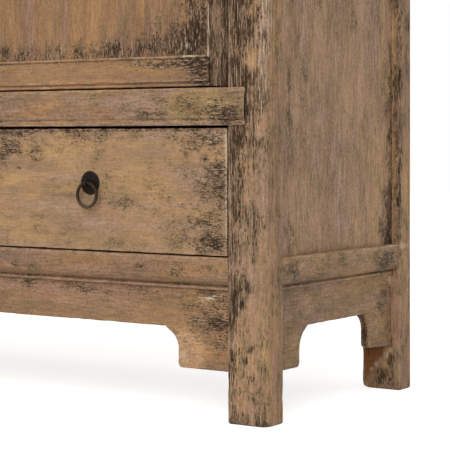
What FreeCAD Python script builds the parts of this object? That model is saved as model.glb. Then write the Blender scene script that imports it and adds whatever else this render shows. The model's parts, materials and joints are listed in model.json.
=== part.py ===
import FreeCAD, Part
import math
import os

# Wardrobe of worn painted softwood: two doors on wooden pivots over two drawers, between four
# posts that run down to the floor as legs. Millimetres. X runs from left to right, the front
# faces -Y, and Z is up. The origin is on the floor, under the middle of the top.

# Overall sizes, over the outer faces of the posts
cabinet_width = 1240.0
cabinet_depth = 480.0
cabinet_height = 1850.0

# Posts
front_post_width = 71.0
rear_post_width = 74.5
post_depth = 50.0
post_corner_radius = 16.0
post_front_arris = 4.0
post_side_arris = 5.0
post_inner_arris = 3.5
front_reed_place = 23.6
side_reed_place = 18.6
reed_width = 4.6
reed_depth = 2.4
foot_chamfer = 3.0
worn_foot_radius = 14.0
post_tenon_width = 30.0
post_tenon_depth = 24.0
post_tenon_height = 20.0

# Heights above the floor, and of the front's rails and openings
lobe_level = 75.5
apron_edge_level = 138.5
bottom_rail_level = 200.0
bottom_rail_height = 51.5
drawer_opening_height = 201.0
middle_rail_height = 58.5
top_rail_height = 60.0

# Rails and their joints
rail_thickness = 40.0
front_rail_recess = 2.0
side_rail_recess = 4.0
rail_arris = 3.0
moulding_set_back = 10.0
moulding_bead_radius = 3.0
moulding_quirk = 2.0
tenon_thickness = 12.0
tenon_setback = 20.0
tenon_length = 30.0
side_tenon_length = 25.0
tenon_shoulder = 5.0
middle_rail_proud = 5.0
middle_rail_crown = 3.5
middle_rail_crown_radius = 90.0
middle_rail_reed_height = 9.0
lap_length = 32.6
lap_housing = 6.0
lap_corner_cut = 2.0

# Aprons
apron_recess = 18.0
apron_thickness = 18.0
apron_housing = 6.0
front_lobe_width = 104.0
side_lobe_width = 76.0
lobe_curve_width = 26.0
lobe_curve_drop = 18.2
lobe_curve_radius = 34.0
lobe_corner_radius = 8.0
rear_lobe_curve_width = 20.0
rear_lobe_curve_drop = 15.0
rear_lobe_curve_radius = 27.0
rear_lobe_wear = 4.5

# Panels in grooves
panel_tongue = 8.0
side_panel_recess = 16.0
side_panel_thickness = 12.0
back_rail_recess = 10.0
back_rail_thickness = 30.0
back_middle_rail_height = 50.0
back_panel_recess = 18.0
back_panel_thickness = 10.0

# Top: a mitred frame round a floating panel
top_thickness = 34.0
top_overhang = 30.0
top_frame_width = 84.0
top_edge_height = 16.0
top_edge_set_in = 18.0
top_edge_radius = 4.0
top_panel_thickness = 12.0
top_panel_drop = 2.0
top_panel_tongue_thickness = 6.0

# Inside
floor_thickness = 12.0
floor_drop = 5.0
floor_tongue_thickness = 6.0
shelf_level = 1130.0
shelf_thickness = 18.0
board_clearance = 1.0
bearer_width = 20.0
bearer_height = 20.0
runner_thickness = 14.0
runner_shelf_width = 29.0
guide_height = 23.5
guide_width = 26.0

# Drawers
divider_width = 36.0
divider_tenon = 8.0
drawer_recess = 2.0
drawer_side_gap = 2.0
drawer_bottom_gap = 2.0
drawer_top_gap = 3.5
drawer_front_thickness = 22.0
drawer_front_arris = 1.5
drawer_board_thickness = 12.0
drawer_side_inset = 0.5
drawer_running_gap = 0.5
drawer_side_height = 180.0
drawer_rear_gap = 15.0
drawer_bottom_thickness = 8.0
drawer_bottom_rise = 10.0
drawer_groove = 5.0
dovetail_count = 3
dovetail_length = 12.0
dovetail_flare = 4.0
dovetail_share = 0.55
drawer_pull_rise = 10.4

# Doors
door_recess = 2.0
door_thickness = 26.0
door_post_gap = 3.5
door_centre_gap = 3.0
door_end_gap = 2.0
hinge_stile_width = 38.0
meeting_stile_width = 68.0
meeting_stile_arris = 2.0
door_rail_height = 49.0
door_slope_width = 16.0
door_slope_drop = 4.5
door_slope_radius = 12.0
door_bead_width = 5.0
door_bead_radius = 2.4
door_bead_drop = 2.0
door_edge_bead_radius = 2.25
door_edge_bead_drop = 1.0
door_edge_groove_width = 2.4
door_edge_groove_depth = 2.4
door_mitre_band = 5.5
door_panel_drop = 5.0
door_panel_thickness = 10.0
door_panel_tongue = 7.0
door_tenon_length = 15.0
door_tenon_thickness = 9.0
door_tenon_shoulder = 8.0
batten_height = 40.0
batten_thickness = 10.0
batten_tongue = 5.0
batten_end_distance = 280.0
pivot_radius = 6.0
pivot_clearance = 0.1
pivot_end_clearance = 0.3
lower_socket_depth = 14.0
upper_pin_reach = 12.0
upper_socket_depth = 22.0
door_pull_level = 1090.0
door_pull_from_edge = 26.0

# Ring pulls: a domed plate, a split-pin eye through it, and a ring in the eye
plate_radius = 19.0
plate_dome = 3.5
plate_rim = 0.8
plate_sheet = 1.2
plate_hole_radius = 3.2
eye_reach = 9.0
eye_hole_radius = 3.3
eye_wire_radius = 1.4
eye_leg_height = 4.8
eye_leg_width = 2.6
eye_clench_length = 12.0
ring_outer_radius = 22.0
ring_wire_radius = 2.65

# Levels and places that follow from the sizes
outer_x = cabinet_width / 2
front_y = -cabinet_depth / 2
rear_y = cabinet_depth / 2
half_opening = outer_x - front_post_width
half_rear_opening = outer_x - rear_post_width
post_top = cabinet_height - top_thickness
side_start = front_y + post_depth
side_end = rear_y - post_depth
bottom_rail_top = bottom_rail_level + bottom_rail_height
middle_rail_level = bottom_rail_top + drawer_opening_height
middle_rail_top = middle_rail_level + middle_rail_height
top_rail_level = post_top - top_rail_height
front_rail_face = front_y + front_rail_recess
front_rail_back = front_rail_face + rail_thickness
side_rail_face = outer_x - side_rail_recess
middle_rail_face = front_y - middle_rail_proud
middle_rail_back = middle_rail_face + rail_thickness
back_rail_back = rear_y - back_rail_recess
back_rail_front = back_rail_back - back_rail_thickness
side_panel_inner = outer_x - side_panel_recess - side_panel_thickness
back_panel_front = rear_y - back_panel_recess - back_panel_thickness
floor_top = middle_rail_top - floor_drop
floor_bottom = floor_top - floor_thickness

pieces = {}


def vec(x, y, z):
    return FreeCAD.Vector(x, y, z)


def box(x0, x1, y0, y1, z0, z1):
    """A block between two values of each axis."""
    return Part.makeBox(x1 - x0, y1 - y0, z1 - z0, vec(x0, y0, z0))


def place(plane, across, up, offset):
    """A drawing's point in space: plan is (x, y), front is (x, z) and side is (y, z)."""
    if plane == "plan":
        return vec(across, up, offset)
    if plane == "front":
        return vec(across, offset, up)
    return vec(offset, across, up)


def rounded_steps(corners):
    """Turn corners (across, up, radius) into points and, where a radius is given, arcs."""
    steps = []
    count = len(corners)
    for index, corner in enumerate(corners):
        here = vec(corner[0], corner[1], 0)
        radius = corner[2] if len(corner) > 2 else 0.0
        if radius <= 0:
            steps.append([here])
            continue
        before = corners[index - 1]
        after = corners[(index + 1) % count]
        to_before = (vec(before[0], before[1], 0) - here).normalize()
        to_after = (vec(after[0], after[1], 0) - here).normalize()
        half_angle = to_before.getAngle(to_after) / 2
        run = radius / math.tan(half_angle)
        bisector = (to_before + to_after).normalize()
        middle = here + bisector * (radius / math.sin(half_angle) - radius)
        steps.append([here + to_before * run, middle, here + to_after * run])
    return steps


def prism(plane, start, end, corners):
    """A drawing's outline, carried square to its plane from start to end."""
    steps = rounded_steps(corners)
    edges = []
    for index, step in enumerate(steps):
        points = [place(plane, point.x, point.y, start) for point in step]
        if len(points) == 3:
            edges.append(Part.Arc(points[0], points[1], points[2]).toShape())
        following = steps[(index + 1) % len(steps)][0]
        target = place(plane, following.x, following.y, start)
        if points[-1].distanceToPoint(target) > 1e-6:
            edges.append(Part.LineSegment(points[-1], target).toShape())
    face = Part.Face(Part.Wire(edges))
    directions = {"plan": vec(0, 0, 1), "front": vec(0, 1, 0), "side": vec(1, 0, 0)}
    return face.extrude(directions[plane] * (end - start))


def mirrored(shape):
    """The same piece on the other side of the cabinet."""
    return shape.mirror(vec(0, 0, 0), vec(1, 0, 0))


def joined(first, *others):
    """One solid from pieces of the same wood."""
    return first.fuse(list(others)).removeSplitter()


def post_blank(width, front):
    """A right-hand post before its joints are cut: rounded outer corner, reeds and chamfered foot."""
    inner_x = outer_x - width
    outer_y = front_y if front else rear_y
    inward = 1 if front else -1
    inner_y = outer_y + inward * post_depth
    corners = [
        (inner_x, outer_y, post_front_arris),
        (outer_x, outer_y, post_corner_radius),
        (outer_x, inner_y, post_side_arris),
        (inner_x, inner_y, post_inner_arris),
    ]
    post = prism("plan", 0, post_top, corners)
    foot_edges = [edge for edge in post.Edges if edge.BoundBox.ZMax < 1e-6]
    post = post.makeChamfer(foot_chamfer, foot_edges)
    reed_x = outer_x - front_reed_place
    front_reed = [
        (reed_x - reed_width / 2, outer_y),
        (reed_x, outer_y + inward * reed_depth),
        (reed_x + reed_width / 2, outer_y),
    ]
    reed_y = outer_y + inward * side_reed_place
    side_reed = [
        (outer_x, reed_y - reed_width / 2),
        (outer_x - reed_depth, reed_y),
        (outer_x, reed_y + reed_width / 2),
    ]
    for reed in (front_reed, side_reed):
        post = post.cut(prism("plan", 0, post_top, reed))
    tenon_x = inner_x + (width - post_tenon_width) / 2
    tenon_y = outer_y + inward * (post_depth - post_tenon_depth) / 2
    tenon_y_end = tenon_y + inward * post_tenon_depth
    tenon = box(
        tenon_x,
        tenon_x + post_tenon_width,
        min(tenon_y, tenon_y_end),
        max(tenon_y, tenon_y_end),
        post_top,
        post_top + post_tenon_height,
    )
    return post.fuse(tenon)


def moulded_section(face, inward, low, high):
    """A rail's end view: rounded top edge, flat face, ovolo, then a bead along the lower edge."""
    bead_x = face + inward * moulding_set_back
    quirk_x = bead_x + inward * moulding_bead_radius
    bead_top = low + 2 * moulding_bead_radius
    quirk_top = bead_top + moulding_quirk
    return [
        (face + inward * rail_thickness, low),
        (bead_x, low, moulding_bead_radius),
        (bead_x, bead_top, moulding_bead_radius),
        (quirk_x, bead_top),
        (quirk_x, quirk_top),
        (face, quirk_top, moulding_set_back + moulding_bead_radius),
        (face, high, rail_arris),
        (face + inward * rail_thickness, high),
    ]


def plain_section(face, inward, low, high):
    """A plain rail's end view, with both face edges rounded."""
    return [
        (face + inward * rail_thickness, low),
        (face, low, rail_arris),
        (face, high, rail_arris),
        (face + inward * rail_thickness, high),
    ]


def front_tenons(low, high):
    """Tenons at both ends of a front rail."""
    tenons = []
    for x0 in (half_opening, -half_opening - tenon_length):
        y0 = front_y + tenon_setback
        tenons.append(
            box(x0, x0 + tenon_length, y0, y0 + tenon_thickness, low + tenon_shoulder, high - tenon_shoulder)
        )
    return tenons


def side_tenons(low, high):
    """Tenons at both ends of a right-hand side rail."""
    x1 = outer_x - tenon_setback
    tenons = []
    for y0 in (side_start - side_tenon_length, side_end):
        tenons.append(
            box(x1 - tenon_thickness, x1, y0, y0 + side_tenon_length, low + tenon_shoulder, high - tenon_shoulder)
        )
    return tenons


def middle_rail():
    """The rail between drawers and doors: bowed face, a reed, and ends lapped over the posts."""
    low = middle_rail_level
    high = middle_rail_top
    middle = (low + high) / 2
    edge = middle_rail_face + middle_rail_crown
    section = [
        (middle_rail_back, low),
        (edge, low),
        (middle_rail_face, middle, middle_rail_crown_radius),
        (edge, high),
        (middle_rail_back, high),
    ]
    lap_x = half_opening + lap_length
    reach = prism("side", -lap_x, lap_x, section)
    lap_outline = [
        (-lap_x + lap_corner_cut, low),
        (lap_x - lap_corner_cut, low),
        (lap_x, low + lap_corner_cut),
        (lap_x, high - lap_corner_cut),
        (lap_x - lap_corner_cut, high),
        (-lap_x + lap_corner_cut, high),
        (-lap_x, high - lap_corner_cut),
        (-lap_x, low + lap_corner_cut),
    ]
    lap = prism("front", middle_rail_face - 1, front_y + lap_housing, lap_outline)
    body = box(-half_opening, half_opening, middle_rail_face - 1, middle_rail_back, low, high)
    rail = reach.common(lap.fuse(body))
    reed_z = low + middle_rail_reed_height
    reed = [
        (middle_rail_face, reed_z - reed_width),
        (edge + reed_depth / 2, reed_z),
        (middle_rail_face, reed_z + reed_width / 2),
    ]
    rail = rail.cut(prism("side", -lap_x, lap_x, reed))
    return joined(rail, *front_tenons(low, high))


def lobe_outline(half_length, lobe_inner, curve_width, curve_drop, curve_radius, wear):
    """Half of an apron's outline: its straight edge, then a lobe that reaches down by the leg."""
    return [
        (lobe_inner - curve_width, apron_edge_level),
        (lobe_inner, apron_edge_level - curve_drop, curve_radius),
        (lobe_inner, lobe_level + wear, lobe_corner_radius),
        (half_length, lobe_level),
        (half_length, bottom_rail_level + apron_housing),
    ]


def other_half(outline):
    """The same half outline at the other end of the apron."""
    return [(-corner[0],) + corner[1:] for corner in reversed(outline)]


def make_carcase():
    """Posts, rails, aprons, panels, floor, shelf, bearers and runners."""
    front_half = lobe_outline(
        half_opening + apron_housing,
        half_opening - front_lobe_width,
        lobe_curve_width,
        lobe_curve_drop,
        lobe_curve_radius,
        0,
    )
    side_half = lobe_outline(
        side_end + apron_housing,
        side_end - side_lobe_width,
        lobe_curve_width,
        lobe_curve_drop,
        lobe_curve_radius,
        0,
    )
    rear_half = lobe_outline(
        side_end + apron_housing,
        side_end - side_lobe_width,
        rear_lobe_curve_width,
        rear_lobe_curve_drop,
        rear_lobe_curve_radius,
        rear_lobe_wear,
    )
    front_apron = prism(
        "front",
        front_y + apron_recess,
        front_y + apron_recess + apron_thickness,
        front_half + other_half(front_half),
    )
    side_apron = prism(
        "side",
        outer_x - apron_recess - apron_thickness,
        outer_x - apron_recess,
        rear_half + other_half(side_half),
    )
    side_panel = box(
        side_panel_inner,
        side_panel_inner + side_panel_thickness,
        side_start - panel_tongue,
        side_end + panel_tongue,
        bottom_rail_top - panel_tongue,
        top_rail_level + panel_tongue,
    )

    bottom_section = moulded_section(front_rail_face, 1, bottom_rail_level, bottom_rail_top)
    bottom_rail = prism("side", -half_opening, half_opening, bottom_section)
    bottom_rail = joined(bottom_rail, *front_tenons(bottom_rail_level, bottom_rail_top))
    bottom_rail = bottom_rail.cut(front_apron)
    top_section = plain_section(front_rail_face, 1, top_rail_level, post_top)
    top_rail = prism("side", -half_opening, half_opening, top_section)
    top_rail = joined(top_rail, *front_tenons(top_rail_level, post_top))
    lap_rail = middle_rail()

    side_bottom_section = moulded_section(side_rail_face, -1, bottom_rail_level, bottom_rail_top)
    side_bottom_rail = prism("front", side_start, side_end, side_bottom_section)
    side_bottom_rail = joined(side_bottom_rail, *side_tenons(bottom_rail_level, bottom_rail_top))
    side_bottom_rail = side_bottom_rail.cut([side_apron, side_panel])
    side_top_section = plain_section(side_rail_face, -1, top_rail_level, post_top)
    side_top_rail = prism("front", side_start, side_end, side_top_section)
    side_top_rail = joined(side_top_rail, *side_tenons(top_rail_level, post_top))
    side_top_rail = side_top_rail.cut(side_panel)

    back_levels = [
        (bottom_rail_level, bottom_rail_top),
        (middle_rail_top - back_middle_rail_height, middle_rail_top),
        (top_rail_level, post_top),
    ]
    back_panels = []
    for below, above in zip(back_levels, back_levels[1:]):
        back_panels.append(
            box(
                -half_rear_opening - panel_tongue,
                half_rear_opening + panel_tongue,
                back_panel_front,
                back_panel_front + back_panel_thickness,
                below[1] - panel_tongue,
                above[0] + panel_tongue,
            )
        )
    back_rails = []
    tenon_y = back_rail_front + (back_rail_thickness - tenon_thickness) / 2
    for low, high in back_levels:
        rail = box(-half_rear_opening, half_rear_opening, back_rail_front, back_rail_back, low, high)
        tenon_reach = half_rear_opening + tenon_length
        tenon = box(
            -tenon_reach,
            tenon_reach,
            tenon_y,
            tenon_y + tenon_thickness,
            low + tenon_shoulder,
            high - tenon_shoulder,
        )
        back_rails.append(joined(rail, tenon).cut(back_panels))

    front_post = post_blank(front_post_width, True)
    rear_post = post_blank(rear_post_width, False)

    floor_field = box(
        -side_panel_inner,
        side_panel_inner,
        middle_rail_back,
        back_rail_front,
        floor_bottom,
        floor_top,
    )
    floor_tongues = box(
        -side_panel_inner,
        side_panel_inner,
        middle_rail_back - panel_tongue,
        back_rail_front + panel_tongue,
        floor_bottom,
        floor_bottom + floor_tongue_thickness,
    )
    floor = joined(floor_field, floor_tongues)
    shelf = box(
        -side_panel_inner + board_clearance,
        side_panel_inner - board_clearance,
        side_start + board_clearance,
        back_panel_front - board_clearance,
        shelf_level - shelf_thickness,
        shelf_level,
    )
    notches = []
    for sign in (-1, 1):
        edge_x = sign * (half_opening - board_clearance)
        rear_edge_x = sign * (half_rear_opening - board_clearance)
        side_x = sign * outer_x
        notches.append(
            box(
                min(edge_x, side_x),
                max(edge_x, side_x),
                front_y,
                side_start + board_clearance,
                0,
                post_top,
            )
        )
        notches.append(
            box(
                min(rear_edge_x, side_x),
                max(rear_edge_x, side_x),
                side_end - board_clearance,
                rear_y,
                0,
                post_top,
            )
        )
    floor = floor.cut(notches)
    shelf = shelf.cut(notches)
    lap_rail = lap_rail.cut(floor)
    back_rails = [rail.cut(floor) for rail in back_rails]

    bearers = []
    for board_bottom in (floor_bottom, shelf_level - shelf_thickness):
        bearer = box(
            side_panel_inner - bearer_width,
            side_panel_inner,
            side_start,
            side_end,
            board_bottom - bearer_height,
            board_bottom,
        )
        bearers.append(bearer)
        bearers.append(mirrored(bearer))

    runner_bottom = bottom_rail_top - runner_thickness
    runner_start = front_rail_back - panel_tongue
    runner_end = back_rail_front + panel_tongue
    guide_outer = half_opening + guide_width
    side_runner = box(
        half_opening - runner_shelf_width,
        guide_outer,
        runner_start,
        runner_end,
        runner_bottom,
        bottom_rail_top,
    )
    side_runner = side_runner.cut(notches)
    guide = box(
        half_opening,
        guide_outer,
        side_start + board_clearance,
        side_end - board_clearance,
        runner_bottom,
        bottom_rail_top + guide_height,
    )
    side_runner = joined(side_runner, guide)
    centre_reach = divider_width / 2 + runner_shelf_width
    centre_runner = box(
        -centre_reach,
        centre_reach,
        runner_start,
        runner_end,
        runner_bottom,
        bottom_rail_top,
    )
    centre_guide = box(
        -divider_width / 2,
        divider_width / 2,
        front_rail_back,
        back_rail_front,
        runner_bottom,
        bottom_rail_top + guide_height,
    )
    centre_runner = joined(centre_runner, centre_guide)
    runners = [side_runner, centre_runner, mirrored(side_runner)]
    bottom_rail = bottom_rail.cut(runners)
    back_rails = [rail.cut(runners) for rail in back_rails]

    divider = box(
        -divider_width / 2,
        divider_width / 2,
        front_rail_face,
        front_rail_back,
        bottom_rail_top,
        middle_rail_level,
    )
    divider_tenons = box(
        -divider_width / 4,
        divider_width / 4,
        front_y + tenon_setback,
        front_y + tenon_setback + tenon_thickness,
        bottom_rail_top - divider_tenon,
        middle_rail_level + divider_tenon,
    )
    divider = joined(divider, divider_tenons)
    bottom_rail = bottom_rail.cut(divider)
    lap_rail = lap_rail.cut(divider)

    front_post = front_post.cut(
        [front_apron, bottom_rail, lap_rail, top_rail, side_apron, side_bottom_rail, side_top_rail, side_panel]
    )
    rear_post = rear_post.cut([side_apron, side_bottom_rail, side_top_rail, side_panel])
    rear_post = rear_post.cut(back_rails + back_panels)
    inner_foot = outer_x - rear_post_width
    square_corner = [
        (inner_foot, 0),
        (inner_foot + worn_foot_radius, 0),
        (inner_foot + worn_foot_radius, worn_foot_radius),
        (inner_foot, worn_foot_radius),
    ]
    round_corner = [square_corner[0] + (worn_foot_radius,)] + square_corner[1:]
    worn_away = prism("front", side_end, rear_y, square_corner)
    worn_away = worn_away.cut(prism("front", side_end, rear_y, round_corner))
    worn_rear_post = rear_post.cut(worn_away)

    pieces["post_front_right"] = front_post
    pieces["post_front_left"] = mirrored(front_post)
    pieces["post_rear_right"] = worn_rear_post
    pieces["post_rear_left"] = mirrored(rear_post)
    pieces["front_apron"] = front_apron
    pieces["front_bottom_rail"] = bottom_rail
    pieces["front_middle_rail"] = lap_rail
    pieces["front_top_rail"] = top_rail
    pieces["drawer_divider"] = divider
    pieces["back_rails"] = Part.makeCompound(back_rails)
    pieces["back_panels"] = Part.makeCompound(back_panels)
    pieces["cabinet_floor"] = floor
    pieces["shelf"] = shelf
    pieces["side_bearers"] = Part.makeCompound(bearers)
    pieces["drawer_runners"] = Part.makeCompound(runners)
    side_pieces = {
        "side_apron": side_apron,
        "side_bottom_rail": side_bottom_rail,
        "side_top_rail": side_top_rail,
        "side_panel": side_panel,
    }
    for name, shape in side_pieces.items():
        pieces[name + "_right"] = shape
        pieces[name + "_left"] = mirrored(shape)
    # Both faces of an apron are alike, so the left one is the right one moved across.
    across = apron_thickness - 2 * (outer_x - apron_recess)
    pieces["side_apron_left"] = side_apron.translated(vec(across, 0, 0))


def make_top():
    """Four mitred frame members with a moulded edge, and the panel that floats between them."""
    half_length = outer_x + top_overhang
    half_depth = rear_y + top_overhang
    low = post_top
    high = cabinet_height

    def edge_section(outer, inward):
        return [
            (outer + inward * top_frame_width, low),
            (outer + inward * top_edge_set_in, low),
            (outer, high - top_edge_height, top_edge_radius),
            (outer, high, top_edge_radius),
            (outer + inward * top_frame_width, high),
        ]

    inner_x = half_length - top_frame_width
    inner_y = half_depth - top_frame_width
    panel_top = high - top_panel_drop
    panel_bottom = panel_top - top_panel_thickness
    panel_field = box(
        -inner_x + board_clearance,
        inner_x - board_clearance,
        -inner_y + board_clearance,
        inner_y - board_clearance,
        panel_bottom,
        panel_top,
    )
    panel_tongues = box(
        -inner_x - panel_tongue,
        inner_x + panel_tongue,
        -inner_y - panel_tongue,
        inner_y + panel_tongue,
        panel_bottom,
        panel_bottom + top_panel_tongue_thickness,
    )
    panel = joined(panel_field, panel_tongues)
    long_plan = [
        (-half_length, -half_depth),
        (half_length, -half_depth),
        (inner_x, -inner_y),
        (-inner_x, -inner_y),
    ]
    end_plan = [
        (half_length, -half_depth),
        (half_length, half_depth),
        (inner_x, inner_y),
        (inner_x, -inner_y),
    ]
    long_member = prism("side", -half_length, half_length, edge_section(-half_depth, 1))
    long_member = long_member.common(prism("plan", low, high, long_plan))
    end_member = prism("front", -half_depth, half_depth, edge_section(half_length, -1))
    end_member = end_member.common(prism("plan", low, high, end_plan))
    rear_member = long_member.mirror(vec(0, 0, 0), vec(0, 1, 0))
    posts = [pieces[name] for name in pieces if name.startswith("post_")]
    cutters = posts + [panel]
    pieces["top_panel"] = panel
    pieces["top_frame_front"] = long_member.cut(cutters)
    pieces["top_frame_rear"] = rear_member.cut(cutters)
    ends = [end_member.cut(cutters), mirrored(end_member).cut(cutters)]
    pieces["top_frame_ends"] = Part.makeCompound(ends)


def pull_plate(x, face, z):
    """A domed sheet-iron plate, seen from the front as a disc, with a hole for the eye."""
    def at(radius, height):
        return vec(x, face - height, z + radius)

    def crown(radius, top):
        return top - (top - plate_rim) * (radius / plate_radius) ** 2

    middle_radius = (plate_radius + plate_hole_radius) / 2
    hole_top = crown(plate_hole_radius, plate_dome)
    middle_top = crown(middle_radius, plate_dome)
    inner_radius = plate_radius - plate_sheet
    outside = Part.Arc(at(plate_hole_radius, hole_top), at(middle_radius, middle_top), at(plate_radius, plate_rim))
    inside = Part.Arc(
        at(inner_radius, 0),
        at(middle_radius, middle_top - plate_sheet),
        at(plate_hole_radius, hole_top - plate_sheet),
    )
    edges = [
        outside.toShape(),
        Part.LineSegment(at(plate_radius, plate_rim), at(plate_radius, 0)).toShape(),
        Part.LineSegment(at(plate_radius, 0), at(inner_radius, 0)).toShape(),
        inside.toShape(),
        Part.LineSegment(at(plate_hole_radius, hole_top - plate_sheet), at(plate_hole_radius, hole_top)).toShape(),
    ]
    section = Part.Face(Part.Wire(edges))
    return section.revolve(vec(x, face, z), vec(0, 1, 0), 360)


def pull_eye(x, face, z, thickness):
    """A split pin: a loop in front, legs through the plate and the wood, and clenched ends behind."""
    loop_radius = eye_hole_radius + eye_wire_radius
    loop = Part.makeTorus(loop_radius, eye_wire_radius, vec(x, face - eye_reach, z), vec(1, 0, 0))
    back = face + thickness
    legs = box(
        x - eye_leg_width / 2,
        x + eye_leg_width / 2,
        face - eye_reach + loop_radius,
        back + eye_leg_width,
        z - eye_leg_height / 2,
        z + eye_leg_height / 2,
    )
    clench = box(
        x - eye_leg_width / 2,
        x + eye_leg_width / 2,
        back,
        back + eye_leg_width,
        z - eye_clench_length,
        z + eye_clench_length,
    )
    return loop.fuse([legs, clench])


def pull_ring(x, face, z):
    """The ring, hanging through the eye."""
    centre_radius = ring_outer_radius - ring_wire_radius
    centre = vec(x, face - eye_reach, z - centre_radius)
    return Part.makeTorus(centre_radius, ring_wire_radius, centre, vec(0, 1, 0))


def dovetails(x0, x1, y0, low, high):
    """Tails at the front end of a drawer side, wider towards their tips."""
    pitch = (high - low) / dovetail_count
    tails = []
    for index in range(dovetail_count):
        middle = low + pitch * (index + 0.5)
        half_tip = pitch * dovetail_share / 2
        half_root = half_tip - dovetail_flare / 2
        outline = [
            (y0, middle - half_root),
            (y0, middle + half_root),
            (y0 - dovetail_length, middle + half_tip),
            (y0 - dovetail_length, middle - half_tip),
        ]
        tails.append(prism("side", x0, x1, outline))
    return tails


def make_drawers():
    """The right-hand drawer from its opening's sizes, and its mirror image."""
    opening_left = divider_width / 2
    x0 = opening_left + drawer_side_gap
    x1 = half_opening - drawer_side_gap
    face = front_y + drawer_recess
    inner_face = face + drawer_front_thickness
    front_low = bottom_rail_top + drawer_bottom_gap
    front_high = middle_rail_level - drawer_top_gap
    end = back_rail_front - drawer_rear_gap
    side_low = bottom_rail_top + drawer_running_gap
    side_high = side_low + drawer_side_height
    bottom_low = side_low + drawer_bottom_rise
    bottom_high = bottom_low + drawer_bottom_thickness
    left_outer = x0 + drawer_side_inset
    right_outer = x1 - drawer_side_inset
    left_inner = left_outer + drawer_board_thickness
    right_inner = right_outer - drawer_board_thickness
    pull_x = (x0 + x1) / 2
    pull_z = (front_low + front_high) / 2 + drawer_pull_rise

    front_corners = [
        (face, front_low, drawer_front_arris),
        (face, front_high, drawer_front_arris),
        (inner_face, front_high),
        (inner_face, front_low),
    ]
    plan_corners = [
        (x0, face, drawer_front_arris),
        (x1, face, drawer_front_arris),
        (x1, inner_face),
        (x0, inner_face),
    ]
    front = prism("side", x0, x1, front_corners)
    front = front.common(prism("plan", front_low, front_high, plan_corners))
    bottom = box(
        left_inner - drawer_groove,
        right_inner + drawer_groove,
        inner_face - drawer_groove,
        end,
        bottom_low,
        bottom_high,
    )
    back = box(
        left_inner - drawer_groove,
        right_inner + drawer_groove,
        end - drawer_board_thickness,
        end,
        bottom_high,
        side_high,
    )
    tail_low = front_low + drawer_bottom_rise
    sides = []
    for outer, inner in ((left_outer, left_inner), (right_inner, right_outer)):
        side = box(outer, inner, inner_face, end, side_low, side_high)
        side = joined(side, *dovetails(outer, inner, inner_face, tail_low, side_high))
        sides.append(side.cut([bottom, back]))
    plate = pull_plate(pull_x, face, pull_z)
    eye = pull_eye(pull_x, face, pull_z, drawer_front_thickness)
    ring = pull_ring(pull_x, face, pull_z)
    front = front.cut(sides + [bottom, eye])
    parts = {
        "front": front,
        "sides": Part.makeCompound(sides),
        "back": back,
        "bottom": bottom,
        "pull_plate": plate,
        "pull_eye": eye,
        "pull_ring": ring,
    }
    for name, shape in parts.items():
        pieces["drawer_right_" + name] = shape
        pieces["drawer_left_" + name] = mirrored(shape)


def inner_edge_corners(edge, outward, bead_plane):
    """A door member's inner moulding: a slope down from the crest, then a bead at the edge.

    edge is the member's inner edge, outward points to its outer edge, and bead_plane turns a
    place along the member's width and a drop behind its face into a corner of its section."""
    bead_start = edge + outward * door_bead_width
    slope_start = bead_start + outward * door_slope_width
    return [
        bead_plane(slope_start, 0, door_slope_radius),
        bead_plane(bead_start, door_slope_drop, 0),
        bead_plane(bead_start, door_bead_drop, door_bead_radius),
        bead_plane(edge, door_bead_drop, door_bead_radius),
        bead_plane(edge, door_thickness, 0),
    ]


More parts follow.
